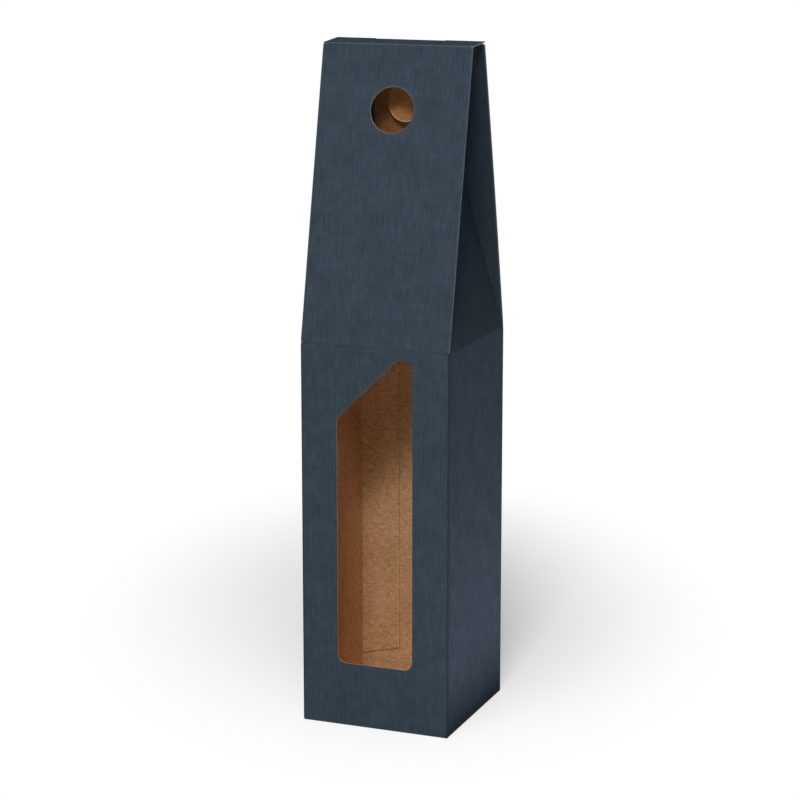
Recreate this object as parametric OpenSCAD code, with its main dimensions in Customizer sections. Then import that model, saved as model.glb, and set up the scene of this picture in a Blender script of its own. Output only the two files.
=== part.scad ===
// Gift box for one bottle, folded from board: a square body with a window, two slopes that lean
// together over folded side gussets, and a narrow ridge with a flap tucked behind the back slope.
// Millimetres. The origin is the centre of the base, +Z is up and the window faces -Y.
// Panels are drawn about the middle of the board's thickness, where their creases lie.

/* [Body] */
// Outer width of the body, side to side
box_w = 90; // [70:1:130]
// Outer depth of the body, front to back
box_d = 90; // [70:1:130]
// Height of the shoulder, where the slopes begin
shoulder_h = 224; // [200:1:280]
// Height of the front edge of the ridge
ridge_h = 390; // [360:1:460]
// Depth of the ridge, front to back
ridge_d = 20; // [14:1:26]
// Thickness of the board
board_t = 0.6; // [0.4:0.1:1]

/* [Window] */
// Width of the window
window_w = 46; // [30:1:60]
// Height of the window's lower edge above the base
window_z = 37.5; // [25:0.5:60]
// Length of the window's short upright edge
window_side = 144; // [110:1:145]
// Angle at which the window's upper edge rises to the right
window_slant = 45; // [20:1:45]
// Radius of the two lower corners
window_foot_r = 5; // [2:0.5:8]
// Radius of the bend above the short upright edge
window_bend_r = 3; // [1:0.5:6]
// Radius of the pointed upper corner
window_tip_r = 6.4; // [3:0.1:8]

/* [Finger grip] */
// Distance from the ridge down the slope to the middle of the round hole
grip_drop = 36.5; // [32:0.5:44]
// Radius of the round hole in the front slope
grip_r = 13; // [10:0.1:14]
// Radius of the round hole in the back slope
rear_grip_r = 10.5; // [8:0.1:13]
// Radius of the round hole in the tuck flap
flap_hole_r = 12.4; // [11:0.1:14]
// Radius of the finger flap that hangs in it
finger_r = 11; // [9:0.1:13]
// Width of the finger flap's crease
finger_crease_w = 11; // [6:0.5:14]
// Distance from the tuck flap's crease down to the finger flap's crease
finger_drop = 25.2; // [20:0.1:28]
// Angle at which the finger flap stands forward
finger_tilt = 16; // [0:0.5:24]

/* [Ridge and tuck flap] */
// Angle at which the ridge rises to the back
ridge_rise = 4; // [0:0.5:6]
// Amount by which the ridge is narrower than the slope at each end
ridge_inset = 0.3; // [0.3:0.1:2]
// Width of the tuck flap
tuck_w = 42; // [36:0.5:50]
// Length of the tuck flap
tuck_len = 58; // [50:1:64]
// Radius of the tuck flap's lower corners
tuck_corner_r = 8; // [2:0.5:14]
// Gap between the ridge's underside and the top of the back slope
ridge_gap = 0.5; // [0.3:0.1:2]

/* [Bottom] */
// Height of the tongue that is tucked up inside the back panel
tongue_h = 10; // [6:0.5:12]
// Angle at which the tongue leans in
tongue_lean = 7; // [5:0.5:10]
// Radius of the tongue's upper corners
tongue_corner_r = 3; // [1:0.5:5]
// Distance between the free ends of the two dust flaps
dust_apart = 13.4; // [8:0.2:40]
// Amount that each slanted edge of a dust flap draws in over its length
dust_taper = 8; // [2:1:14]
// Radius of a dust flap's free corners
dust_corner_r = 6; // [2:0.5:10]

/* [Glued seam] */
// Width of the glue flap behind the back panel
glue_flap_w = 24; // [15:1:30]
// Width of the glue flap behind the back slope
upper_glue_flap_w = 18; // [12:1:20]
// Amount that a glue flap's slanted ends draw in over its width
glue_flap_chamfer = 6; // [2:1:12]
// Thickness of the glue
glue_t = 0.1; // [0.05:0.05:0.2]
// Distance from the edge of a glue flap to the edge of its glue
glue_margin = 3; // [1:0.5:5]

/* [Clearances] */
// Gap across a crease between the rounded edge and the panel that turns on it
crease_gap = 0.3; // [0.2:0.05:0.5]
// Gap between a gusset wing and the board that it is folded against
fold_gap = 0.3; // [0.2:0.05:0.5]
// Gap between a gusset's slanting edge and the wing beside it
gusset_gap = 1.6; // [1.5:0.1:2.4]
// Gap between the tuck flap's side and the free edge of a wing
tuck_side_gap = 1; // [0.6:0.1:2]
// Gap between the tuck flap and the top of the back slope
tuck_back_gap = 0.5; // [0.3:0.1:1]
// Gap between the tongue's crease and the back panel
tongue_gap = 0.4; // [0.3:0.1:0.8]
// Gap between the bottom panel's side edges and the outside of the body
bottom_side_gap = 0.5; // [0.3:0.1:1]
// Gap between the tongue's ends and the side panels
tongue_end_gap = 1.4; // [0.8:0.1:3]
// Distance from the front panel to a dust flap
dust_front_gap = 3.4; // [2:0.1:6]
// Distance from the back panel to a dust flap, which leaves room for the tongue
dust_back_gap = 6; // [4.5:0.1:9]

/* [Hidden] */
$fn = 64;

navy = [0.19, 0.235, 0.28];
navy_shade = [0.16, 0.2, 0.24];
kraft = [0.62, 0.44, 0.29];
glue_colour = [0.85, 0.82, 0.72];

// Half a board's thickness, which is also the radius of a creased edge
half_t = board_t / 2;
// Distance from a crease's axis to the panel that turns on it
crease_start = half_t + crease_gap;
// The same where the two panels fold to an acute angle
acute_start = crease_start + board_t;
// Outer half width and half depth, and the same at the middle of the board
out_x = box_w / 2;
out_y = box_d / 2;
mid_x = out_x - half_t;
mid_y = out_y - half_t;
// Inner faces of the walls
in_x = out_x - board_t;
in_y = out_y - board_t;
// One overrun serves all cuts
over = 2 * board_t;

// The crease at the front edge of the ridge, and the slope's lean and length
ridge_y = ridge_d / 2 - half_t;
ridge_z = ridge_h - half_t;
lean = atan((mid_y - ridge_y) / (ridge_z - shoulder_h));
slope_len = (ridge_z - shoulder_h) / cos(lean);
back_rise = ridge_d * sin(ridge_rise) - half_t - ridge_gap;
back_slope_len = slope_len + back_rise / cos(lean);
// Distance up the slope to the middle of the round hole
grip_v = slope_len - grip_drop;

// The crease between the ridge and the tuck flap, kept clear of the back slope's inner face
back_top_z = shoulder_h + back_slope_len * cos(lean);
back_top_y = mid_y - back_slope_len * sin(lean) - half_t / cos(lean);
tuck_y = back_top_y - tuck_back_gap - half_t;
ridge_run = (tuck_y + ridge_y) / cos(ridge_rise);
tuck_z = ridge_z + ridge_run * sin(ridge_rise);
// Depth of the ridge's ends, which reach over the back slope's top edge
ridge_end_run = (ridge_d / 2 + ridge_y) / cos(ridge_rise);

// The finger flap is a round cut straight across at its crease
finger_chord = sqrt(finger_r * finger_r - finger_crease_w * finger_crease_w / 4);
finger_axis_up = finger_chord + crease_start;

// A wing is folded flat against its slope about an axis between the two layers of board
fold_offset = (board_t + fold_gap) / 2;
fold_x = mid_x - fold_offset;
fold_depth = fold_offset;
// The glued wing folds over the upper glue flap, so its axis lies one layer deeper
glued_fold_depth = fold_offset + board_t + glue_t;
wing_free_x = tuck_w / 2 + tuck_side_gap;
wing_foot = 6 * board_t;
wing_head = board_t;
wing_start = fold_gap;
// A gusset's slanting edge at the shoulder, in from the corner of the body
gusset_in = (2 * fold_depth + half_t) / cos(lean) + gusset_gap;
glued_gusset_in = (fold_depth + glued_fold_depth + half_t) / cos(lean) + gusset_gap;
gusset_len = (fold_x - wing_free_x - (gusset_in - fold_depth - gusset_gap)) / sin(lean);

// The tongue's crease and the dust flaps' creases, one layer of board above the bottom panel
tongue_y = in_y - tongue_gap - half_t;
dust_z = board_t + crease_gap + half_t;
dust_len = mid_x - dust_apart / 2;

// The glue flap lies inside the back panel with a film of glue between them
flap_out_y = in_y - glue_t;
flap_in_y = flap_out_y - board_t;
glue_foot = tongue_h + 6 * board_t;

// The window's corners, from the lower left one round to the right
window_tip = window_z + window_side + window_w * tan(window_slant);
WINDOW_POINTS = [[-window_w / 2, window_z], [window_w / 2, window_z],
    [window_w / 2, window_tip], [-window_w / 2, window_z + window_side]];
WINDOW_RADII = [window_foot_r, window_foot_r, window_tip_r, window_bend_r];

// Unit vector from one point to another
function unit_to(a, b) = (b - a) / norm(b - a);
// Distance from a corner to where its fillet of radius r begins
function fillet_run(prev, at, next, r) =
    let (u = unit_to(at, prev), v = unit_to(at, next)) r * sqrt((1 + u * v) / (1 - u * v));
// The two ends of a corner's fillet
function fillet_ends(prev, at, next, r) =
    let (run = fillet_run(prev, at, next, r))
    [at + run * unit_to(at, prev), at + run * unit_to(at, next)];
// The centre of a corner's fillet, on the corner's bisector past the middle of the fillet's ends
function fillet_centre(prev, at, next, r) =
    let (ends = fillet_ends(prev, at, next, r), ratio = r / fillet_run(prev, at, next, r))
    at + ((ends[0] + ends[1]) / 2 - at) * (1 + ratio * ratio);

// A convex outline with a true arc of the given radius at each corner
module rounded_outline(points, radii) {
    n = len(points);
    polygon([for (i = [0 : n - 1]) each
        fillet_ends(points[(i + n - 1) % n], points[i], points[(i + 1) % n], radii[i])]);
    for (i = [0 : n - 1]) if (radii[i] > 0)
        translate(fillet_centre(points[(i + n - 1) % n], points[i], points[(i + 1) % n], radii[i]))
            circle(r = radii[i]);
}

// A panel of board about the plane z = 0
module board(points, radii) {
    translate([0, 0, -half_t]) linear_extrude(board_t) rounded_outline(points, radii);
}

// A rectangular panel of board from y = low to y = high
module board_strip(half_w, low, high) {
    board([[-half_w, low], [half_w, low], [half_w, high], [-half_w, high]], [0, 0, 0, 0]);
}

// The rounded edge of a crease along X at y = 0, bulging towards +y from the board behind it
module crease_edge(half_w) {
    rotate([90, 0, 90]) translate([0, 0, -half_w]) linear_extrude(2 * half_w) {
        intersection() {
            circle(r = half_t);
            translate([0, -half_t]) square([half_t, board_t]);
        }
        translate([-board_t, -half_t]) square([board_t, board_t]);
    }
}

// Places of the panels: x runs across, y away from the panel's own crease
module on_front_slope() {
    translate([0, -mid_y, shoulder_h]) rotate([90 - lean, 0, 0]) children();
}

module on_back_slope() {
    mirror([0, 1, 0]) on_front_slope() children();
}

module on_right_gusset() {
    translate([mid_x, 0, shoulder_h]) rotate([0, -lean, 0]) rotate([90, 0, 90]) children();
}

module on_ridge() {
    translate([0, -ridge_y, ridge_z]) rotate([ridge_rise, 0, 0]) children();
}

module on_tuck_flap() {
    translate([0, tuck_y, tuck_z]) rotate([-90, 0, 0]) children();
}

module on_finger_flap() {
    on_tuck_flap() translate([0, finger_drop, 0]) rotate([-finger_tilt, 0, 0]) children();
}

module on_bottom() {
    translate([0, -mid_y, half_t]) children();
}

module on_tongue() {
    translate([0, tongue_y, half_t]) rotate([90 + tongue_lean, 0, 0]) children();
}

module on_right_dust_flap() {
    translate([mid_x, 0, dust_z]) rotate([0, 0, 90]) children();
}

// A wall of the body, from its outline seen from above
module wall(outline, low, high) {
    translate([0, 0, low]) linear_extrude(high - low) polygon(outline);
}

module front_panel() {
    color(navy) {
        difference() {
            wall([[-out_x, -out_y], [out_x, -out_y], [in_x, -in_y], [-in_x, -in_y]], half_t, shoulder_h);
            translate([0, over - in_y, 0]) rotate([90, 0, 0]) linear_extrude(2 * over + board_t)
                rounded_outline(WINDOW_POINTS, WINDOW_RADII);
        }
        translate([0, -mid_y, shoulder_h]) rotate([90, 0, 0]) crease_edge(in_x);
        translate([0, -mid_y, half_t]) rotate([-90, 0, 0]) crease_edge(in_x);
    }
}

module back_panel() {
    color(navy) {
        wall([[out_x, out_y], [-out_x, out_y], [-out_x, in_y], [in_x, in_y]], 0, shoulder_h);
        translate([0, mid_y, shoulder_h]) rotate([90, 0, 0]) crease_edge(in_x);
    }
}

// The rounded edges at the top and the bottom of the right side panel
module side_crease_edges() {
    translate([mid_x, 0, shoulder_h]) rotate([90, 0, 90]) crease_edge(flap_in_y);
    translate([mid_x, 0, dust_z]) rotate([-90, 0, 90]) crease_edge(flap_in_y);
}

module right_side_panel() {
    color(navy) {
        wall([[out_x, -out_y], [out_x, out_y], [in_x, in_y], [in_x, -in_y]], dust_z, shoulder_h);
        side_crease_edges();
    }
}

module left_side_panel() {
    color(navy) {
        wall([[-out_x, -out_y], [-in_x, -in_y], [-in_x, flap_in_y], [-out_x, flap_out_y]], dust_z, shoulder_h);
        mirror([1, 0, 0]) side_crease_edges();
    }
}

// The flap joins the left side panel and is glued inside the back panel
module body_glue_flap() {
    flap_x = glue_flap_w - in_x;
    color(kraft) intersection() {
        wall([[-out_x, flap_out_y], [-in_x, flap_in_y], [flap_x, flap_in_y], [flap_x, flap_out_y]],
            0, shoulder_h);
        translate([0, in_y, 0]) rotate([90, 0, 0]) linear_extrude(2 * over)
            polygon([[-out_x, glue_foot], [flap_x, glue_foot + glue_flap_chamfer],
                [flap_x, shoulder_h - board_t - glue_flap_chamfer], [-out_x, shoulder_h - board_t]]);
    }
}

module body_glue_line() {
    low = glue_foot + glue_flap_chamfer;
    high = shoulder_h - board_t - glue_flap_chamfer;
    color(glue_colour) translate([glue_margin - in_x, flap_out_y, low])
        cube([glue_flap_w - 2 * glue_margin, glue_t, high - low]);
}

module bottom_panel() {
    run = tongue_y + mid_y;
    half_w = out_x - bottom_side_gap;
    color(navy) on_bottom() {
        board_strip(half_w, crease_start, run);
        translate([0, run, 0]) crease_edge(half_w);
    }
}

module bottom_tongue() {
    half_w = in_x - tongue_end_gap;
    color(kraft) on_tongue()
        board([[-half_w, crease_start], [half_w, crease_start], [half_w, tongue_h], [-half_w, tongue_h]],
            [0, 0, tongue_corner_r, tongue_corner_r]);
}

// Each dust flap draws in from its crease to its free end
module dust_flap_board() {
    front = dust_front_gap - in_y;
    back = in_y - dust_back_gap;
    board([[front, acute_start], [back, acute_start], [back - dust_taper, dust_len],
        [front + dust_taper, dust_len]], [0, 0, dust_corner_r, dust_corner_r]);
}

module right_dust_flap() {
    color(kraft) on_right_dust_flap() dust_flap_board();
}

module left_dust_flap() {
    color(kraft) mirror([1, 0, 0]) on_right_dust_flap() dust_flap_board();
}

// The rounded edge of a side fold along y = low to y = high, which turns the board inwards by a
// quarter about the wing's axis
module side_fold(low, high) {
    outer_r = fold_offset + half_t;
    inner_r = fold_offset - half_t;
    translate([fold_x, low, -fold_depth]) rotate([-90, 0, 0]) linear_extrude(high - low) {
        intersection() {
            difference() {
                circle(r = outer_r);
                circle(r = inner_r);
            }
            translate([0, -outer_r]) square([outer_r, outer_r]);
        }
        translate([-board_t, -outer_r]) square([board_t, board_t]);
    }
}

// The flat board of a slope from x = left to x = right, with its round finger hole
module slope_board(left, right, high, hole_r) {
    difference() {
        board([[left, crease_start], [right, crease_start], [right, high], [left, high]], [0, 0, 0, 0]);
        translate([0, grip_v, -over]) cylinder(r = hole_r, h = 2 * over);
    }
}

module front_slope_panel() {
    color(navy) on_front_slope() {
        slope_board(-fold_x, fold_x, slope_len, grip_r);
        side_fold(crease_start, slope_len - crease_gap);
        mirror([1, 0, 0]) side_fold(crease_start, slope_len - crease_gap);
        translate([0, slope_len, 0]) crease_edge(fold_x);
    }
}

// The left edge is cut, because the seam is there
module back_slope_panel() {
    color(navy) on_back_slope() {
        slope_board(-out_x, fold_x, back_slope_len, rear_grip_r);
        side_fold(crease_start, back_slope_len);
    }
}

// A gusset between the two slopes, with its edges kept clear of the wings on either side
module gusset_board(rear_in) {
    draw_in = gusset_len * sin(lean);
    foot = crease_start;
    foot_in = foot * sin(lean);
    board([[gusset_in + foot_in - mid_y, foot], [mid_y - rear_in - foot_in, foot],
        [mid_y - rear_in - draw_in, gusset_len], [gusset_in + draw_in - mid_y, gusset_len]], [0, 0, 0, 0]);
}

module right_gusset_panel() {
    color(navy_shade) on_right_gusset() gusset_board(gusset_in);
}

module left_gusset_panel() {
    color(navy_shade) mirror([1, 0, 0]) on_right_gusset() gusset_board(glued_gusset_in);
}

// A right-hand wing on its slope's frame: the triangle beside the gusset, cut off straight where
// the tuck flap passes, and carried up to the ridge
module wing_board(depth, high) {
    edge = gusset_in - fold_depth - gusset_gap;
    head = high - wing_head;
    translate([0, 0, -depth - fold_offset])
        board([[fold_x - wing_start, wing_foot], [fold_x - wing_start, head], [wing_free_x, head],
            [wing_free_x, gusset_len], [fold_x - edge - wing_foot * sin(lean), wing_foot]],
            [0, 0, 0, 0, 0]);
}

module right_front_wing() {
    color(navy_shade) on_front_slope() wing_board(fold_depth, slope_len);
}

module left_front_wing() {
    color(navy_shade) mirror([1, 0, 0]) on_front_slope() wing_board(fold_depth, slope_len);
}

module right_rear_wing() {
    color(navy_shade) on_back_slope() wing_board(fold_depth, back_slope_len);
}

module left_rear_wing() {
    color(navy_shade) mirror([1, 0, 0]) on_back_slope() wing_board(glued_fold_depth, back_slope_len);
}

// The flap joins the left rear wing and is glued inside the back slope
module upper_glue_flap() {
    low = wing_foot + glue_flap_chamfer;
    high = back_slope_len - wing_head;
    color(kraft) mirror([1, 0, 0]) on_back_slope() translate([0, 0, -board_t - glue_t]) {
        board([[fold_x, low], [fold_x, high], [fold_x - upper_glue_flap_w, high - glue_flap_chamfer],
            [fold_x - upper_glue_flap_w, low + glue_flap_chamfer]], [0, 0, 0, 0]);
        side_fold(low, high);
    }
}

module upper_glue_line() {
    low = wing_foot + 2 * glue_flap_chamfer;
    high = back_slope_len - wing_head - glue_flap_chamfer;
    color(glue_colour) mirror([1, 0, 0]) on_back_slope()
        translate([fold_x - upper_glue_flap_w + glue_margin, low, -half_t - glue_t])
            cube([upper_glue_flap_w - 2 * glue_margin, high - low, glue_t]);
}

// The ridge's ends reach past the tuck flap's crease, over the top of the back slope
module ridge_strip() {
    half_w = out_x - ridge_inset;
    notch = tuck_w / 2 + crease_gap;
    color(navy) on_ridge() {
        difference() {
            board_strip(half_w, crease_start, ridge_end_run);
            translate([-notch, ridge_run, -over])
                cube([2 * notch, ridge_end_run, 2 * over]);
        }
        translate([0, ridge_run, 0]) crease_edge(tuck_w / 2);
    }
}

module ridge_tuck_flap() {
    half_w = tuck_w / 2;
    middle = finger_drop + finger_axis_up;
    color(kraft) on_tuck_flap() {
        difference() {
            board([[-half_w, acute_start], [half_w, acute_start], [half_w, tuck_len], [-half_w, tuck_len]],
                [0, 0, tuck_corner_r, tuck_corner_r]);
            difference() {
                translate([0, middle, -over]) cylinder(r = flap_hole_r, h = 2 * over);
                translate([-finger_crease_w / 2, finger_drop - flap_hole_r, -2 * over])
                    cube([finger_crease_w, flap_hole_r, 4 * over]);
            }
        }
        translate([0, finger_drop, 0]) crease_edge(finger_crease_w / 2);
    }
}

module finger_flap() {
    color(kraft) on_finger_flap() translate([0, 0, -half_t]) linear_extrude(board_t)
        difference() {
            translate([0, finger_axis_up]) circle(r = finger_r);
            translate([-finger_r, crease_start - finger_r]) square([2 * finger_r, finger_r]);
        }
}

front_panel();
back_panel();
left_side_panel();
right_side_panel();
body_glue_flap();
body_glue_line();
bottom_panel();
bottom_tongue();
left_dust_flap();
right_dust_flap();
front_slope_panel();
back_slope_panel();
left_gusset_panel();
right_gusset_panel();
left_front_wing();
right_front_wing();
left_rear_wing();
right_rear_wing();
upper_glue_flap();
upper_glue_line();
ridge_strip();
ridge_tuck_flap();
finger_flap();
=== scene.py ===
"""Looks of a folded gift box for one bottle: navy embossed board outside and bare kraft inside.

Every panel is one sheet of board. It is worked out flat, as a grid of places across and along the
sheet, and then carried to its place on the box by a formula that also turns it round its folds.
Lengths are in millimetres until a mesh is made, and in metres from there on.
"""

import logging
import math
from dataclasses import dataclass, field
from enum import IntEnum
from typing import Callable, Iterable, Optional, Sequence

import bpy
import numpy as np
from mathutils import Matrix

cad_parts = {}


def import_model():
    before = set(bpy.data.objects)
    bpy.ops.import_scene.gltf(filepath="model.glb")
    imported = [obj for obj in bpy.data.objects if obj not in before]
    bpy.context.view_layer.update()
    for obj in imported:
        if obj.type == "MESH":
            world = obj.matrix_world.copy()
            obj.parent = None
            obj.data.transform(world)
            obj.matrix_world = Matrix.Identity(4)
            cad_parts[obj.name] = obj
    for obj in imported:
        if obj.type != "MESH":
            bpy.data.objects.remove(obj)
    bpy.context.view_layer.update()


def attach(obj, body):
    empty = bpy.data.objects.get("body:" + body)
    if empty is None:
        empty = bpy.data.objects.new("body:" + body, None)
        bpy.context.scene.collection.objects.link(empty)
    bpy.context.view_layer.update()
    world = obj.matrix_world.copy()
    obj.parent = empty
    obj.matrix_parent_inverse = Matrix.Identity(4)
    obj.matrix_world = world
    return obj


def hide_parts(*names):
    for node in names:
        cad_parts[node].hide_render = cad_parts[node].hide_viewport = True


LOG = logging.getLogger("gift_box")
METRE = 0.001
FULL_TURN = 2 * math.pi
UP = (0.0, 0.0, 1.0)
WHITE = (1.0, 1.0, 1.0, 1.0)
# Edges that turn by more than this look sharp.
SHARP_ANGLE = math.radians(38)
# Distance along a rectangle between the rays of a grid round a hole.
RAY_SPACING = 4.0
# Distances from a bend at which rows stand, closer together than elsewhere.
BESIDE_BEND = (0.3, 0.9, 1.5, 2.1, 2.7)
# Share of a rounded corner that the rows follow, so that the last one keeps some width.
NEARLY_ROUND = 0.9998
# Cosine of the turn past which a corner in a sheet's edge is a sharp one.
SHARP_CORNER = 0.5
# Keeps a division by a length from failing where there is none.
NO_LENGTH = 1e-9
Array = np.ndarray
Material = bpy.types.Material
Piece = bpy.types.Object
Socket = bpy.types.NodeSocket
Vector = tuple[float, float, float]
Shape = Callable[[Array, Array, Array], Array]
WearAndPaintedLightShare = Callable[[Array, Array], Array]


class Side(IntEnum):
    """The three surfaces of a sheet, in the order of a piece's materials."""

    OUTER = 0
    INNER = 1
    EDGE = 2


class Rim(IntEnum):
    """How the sheet ends along one side of its grid."""

    CUT = 0
    CREASE = 1
    JOINED = 2


Rims = tuple[Rim, ...]
HINGED = (Rim.CREASE, Rim.CUT, Rim.CUT, Rim.CUT)
BETWEEN_CREASES = (Rim.CREASE, Rim.CUT, Rim.CREASE, Rim.CUT)
JOINED_RIGHT = (Rim.CUT, Rim.JOINED, Rim.CUT, Rim.CUT)
JOINED_LEFT = (Rim.CUT, Rim.CUT, Rim.CUT, Rim.JOINED)
ALL_CUT = (Rim.CUT, Rim.CUT, Rim.CUT, Rim.CUT)


@dataclass(frozen=True)
class BoxSizes:
    """The box's sizes in millimetres, and the places that follow from them.

    Attributes:
        width: Width of the body.
        depth: Depth of the body.
        shoulder: Height of the shoulder crease.
        ridge_height: Height of the front of the ridge.
        ridge_depth: Depth of the ridge, front to back.
        board: Thickness of the board.
        corner_radius: Outer radius of the body's upright corners.
        crease_gap: Air between two panels at a crease.
        fold_gap: Air inside a side fold that lies flat.
        glue: Thickness of the glue.
        ridge_gap: Air between the ridge's underside and the back slope's head.
        ridge_rise: Angle at which the ridge rises backwards, in degrees.
        tuck_width: Width of the tuck flap.
        tuck_back_gap: Air between the tuck flap and the back slope.
        finger_drop: Distance down the tuck flap to the finger flap's crease.
        wing_side_gap: Air between the tuck flap's side and a wing's free edge.
    """

    width: float = 90.0
    depth: float = 90.0
    shoulder: float = 224.0
    ridge_height: float = 390.0
    ridge_depth: float = 20.0
    board: float = 0.6
    corner_radius: float = 0.9
    crease_gap: float = 0.3
    fold_gap: float = 0.3
    glue: float = 0.1
    ridge_gap: float = 0.5
    ridge_rise: float = 4.0
    tuck_width: float = 42.0
    tuck_back_gap: float = 0.5
    finger_drop: float = 25.2
    wing_side_gap: float = 1.0

    @property
    def half(self) -> float:
        """Half a board's thickness."""
        return self.board / 2

    @property
    def mid_x(self) -> float:
        """Distance from the middle of the box to the middle of a side panel's board."""
        return self.width / 2 - self.half

    @property
    def mid_y(self) -> float:
        """Distance from the middle of the box to the middle of the front panel's board."""
        return self.depth / 2 - self.half

    @property
    def ridge_y(self) -> float:
        """Distance from the middle plane forward to the crease of the ridge."""
        return self.ridge_depth / 2 - self.half

    @property
    def ridge_z(self) -> float:
        """Height of the crease of the ridge."""
        return self.ridge_height - self.half

    @property
    def lean(self) -> float:
        """Angle of a slope from upright, in radians."""
        return math.atan((self.mid_y - self.ridge_y) / (self.ridge_z - self.shoulder))

    @property
    def slope_length(self) -> float:
        """Length of the front slope between its creases."""
        return (self.ridge_z - self.shoulder) / math.cos(self.lean)

    @property
    def back_length(self) -> float:
        """Length of the back slope, which ends just under the ridge."""
        rise = self.ridge_depth * math.sin(math.radians(self.ridge_rise)) - self.half - self.ridge_gap
        return self.slope_length + rise / math.cos(self.lean)

    @property
    def tuck_y(self) -> float:
        """Place of the crease between the ridge and the tuck flap, front to back."""
        top = self.mid_y - self.back_length * math.sin(self.lean) - self.half / math.cos(self.lean)
        return top - self.tuck_back_gap - self.half

    @property
    def ridge_run(self) -> float:
        """Depth of the ridge between its two creases."""
        return (self.tuck_y + self.ridge_y) / math.cos(math.radians(self.ridge_rise))

    @property
    def tuck_z(self) -> float:
        """Height of the crease between the ridge and the tuck flap."""
        return self.ridge_z + self.ridge_run * math.sin(math.radians(self.ridge_rise))

    @property
    def fold_radius(self) -> float:
        """Radius of a side fold at the middle of the board's thickness."""
        return (self.board + self.fold_gap) / 2

    @property
    def fold_x(self) -> float:
        """Distance from the middle of the box to the axis of a side fold."""
        return self.mid_x - self.fold_radius

    @property
    def gusset_foot(self) -> float:
        """How far in from the body's corner a gusset's slanting edge meets its wing."""
        return (2 * self.fold_radius + self.half) / math.cos(self.lean)

    @property
    def wing_free(self) -> float:
        """Distance from the middle of the box to the straight free edge of a wing."""
        return self.tuck_width / 2 + self.wing_side_gap

    @property
    def gusset_length(self) -> float:
        """Length of a gusset from the shoulder to its top edge."""
        run = self.fold_x - self.wing_free - (self.gusset_foot - self.fold_radius)
        return run / math.sin(self.lean)

    @property
    def flap_outer_y(self) -> float:
        """Place of the outer face of the glue flap inside the back panel."""
        return self.depth / 2 - self.board - self.glue


@dataclass(frozen=True)
class WearAndPaintedLight:
    """Shares of pressing, painted shade and painted highlight on the board, and the width of a painted rim in
    millimetres.

    Attributes:
        corner: Pressing of the body's upright corners.
        crease: Painted shade along the shoulder crease.
        head: Painted highlight along the ridge's crease.
        gusset: Painted shade on a gusset at its foot.
        gusset_head: What is added to it further up.
        wing: Painted shade on a wing.
        beside_crease: Painted shade on a gusset or wing right at its slanting crease.
        rim: Width of a painted rim: highlight round a hole or an edge, shade at the shoulder crease.
    """

    # Only the corners' share is pressing; the rest paint shade at the crease, gussets and wings, and
    # highlight at the ridge's crease.
    corner: float = 0.55
    crease: float = 0.3
    head: float = 0.8
    gusset: float = 0.35
    gusset_head: float = 0.25
    wing: float = 0.45
    beside_crease: float = 1.3
    rim: float = 0.6


WEAR_AND_PAINTED_LIGHT = WearAndPaintedLight()


@dataclass(frozen=True)
class Place:
    """A flat frame in the box.

    Attributes:
        origin: Where its zero lies.
        across: Direction across the sheet.
        along: Direction along the sheet.
    """

    origin: Vector
    across: Vector
    along: Vector

    @property
    def outward(self) -> Array:
        """Direction of the sheet's outer face: across turned towards along."""
        return np.cross(self.across, self.along)

    def sunk(self, depth: float) -> "Place":
        """The same frame, moved inwards by depth."""
        moved = np.array(self.origin) - depth * self.outward
        return Place(tuple(moved), self.across, self.along)

    def turned_over(self) -> "Place":
        """The same frame with its outer face turned inwards, and across reversed to suit."""
        return Place(self.origin, tuple(-np.array(self.across)), self.along)

    def put(self, u: Array, v: Array, n: Array) -> Array:
        """Point for each place across u, along v and outwards n: origin plus the three steps."""
        steps = ((u, self.across), (v, self.along), (n, self.outward))
        return np.array(self.origin) + sum(np.asarray(a)[..., None] * np.array(d) for a, d in steps)


@dataclass(frozen=True)
class Bow:
    """A shallow swelling of a panel: a parabola across times a parabola along.

    Attributes:
        height: Rise at the middle, outwards.
        half_width: Distance from the middle to the side where it ends.
        low: Place along the panel where it begins.
        high: Place along the panel where it ends.
        side: Share of the rise that the panel's sides also have.
    """

    height: float = 0.0
    half_width: float = 1.0
    low: float = 0.0
    high: float = 1.0
    side: float = 0.0

    def rise(self, u: Array, v: Array) -> Array:
        """Rise at each place: height times (1 - share of the way across squared) times the same along.

        Args:
            u: Places across.
            v: Places along.

        Returns:
            The rise at each place.
        """
        middle, reach = (self.low + self.high) / 2, (self.high - self.low) / 2
        across = np.clip(1 - (u / self.half_width) ** 2, 0, 1)
        along = np.clip(1 - ((v - middle) / reach) ** 2, 0, 1)
        return self.height * (self.side + (1 - self.side) * across) * along


@dataclass(frozen=True)
class SoftBend:
    """The slow bend of board beside a shallow crease, half of it on each panel.

    Attributes:
        crease: Place along the panel of the crease.
        away: Plus one where the panel lies beyond the crease, minus one where it lies before it.
        angle: Angle between the two panels, in radians.
        reach: Width of the bend on this panel.
    """

    crease: float = 0.0
    away: float = 1.0
    angle: float = 0.0
    reach: float = 2.6

    def rise(self, v: Array) -> Array:
        """Rise: minus the square of the way into the bend, to meet the crease at half the angle."""
        into = np.clip(self.reach - self.away * (v - self.crease), 0, self.reach)
        return -into ** 2 * self.angle / (4 * self.reach)


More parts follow.
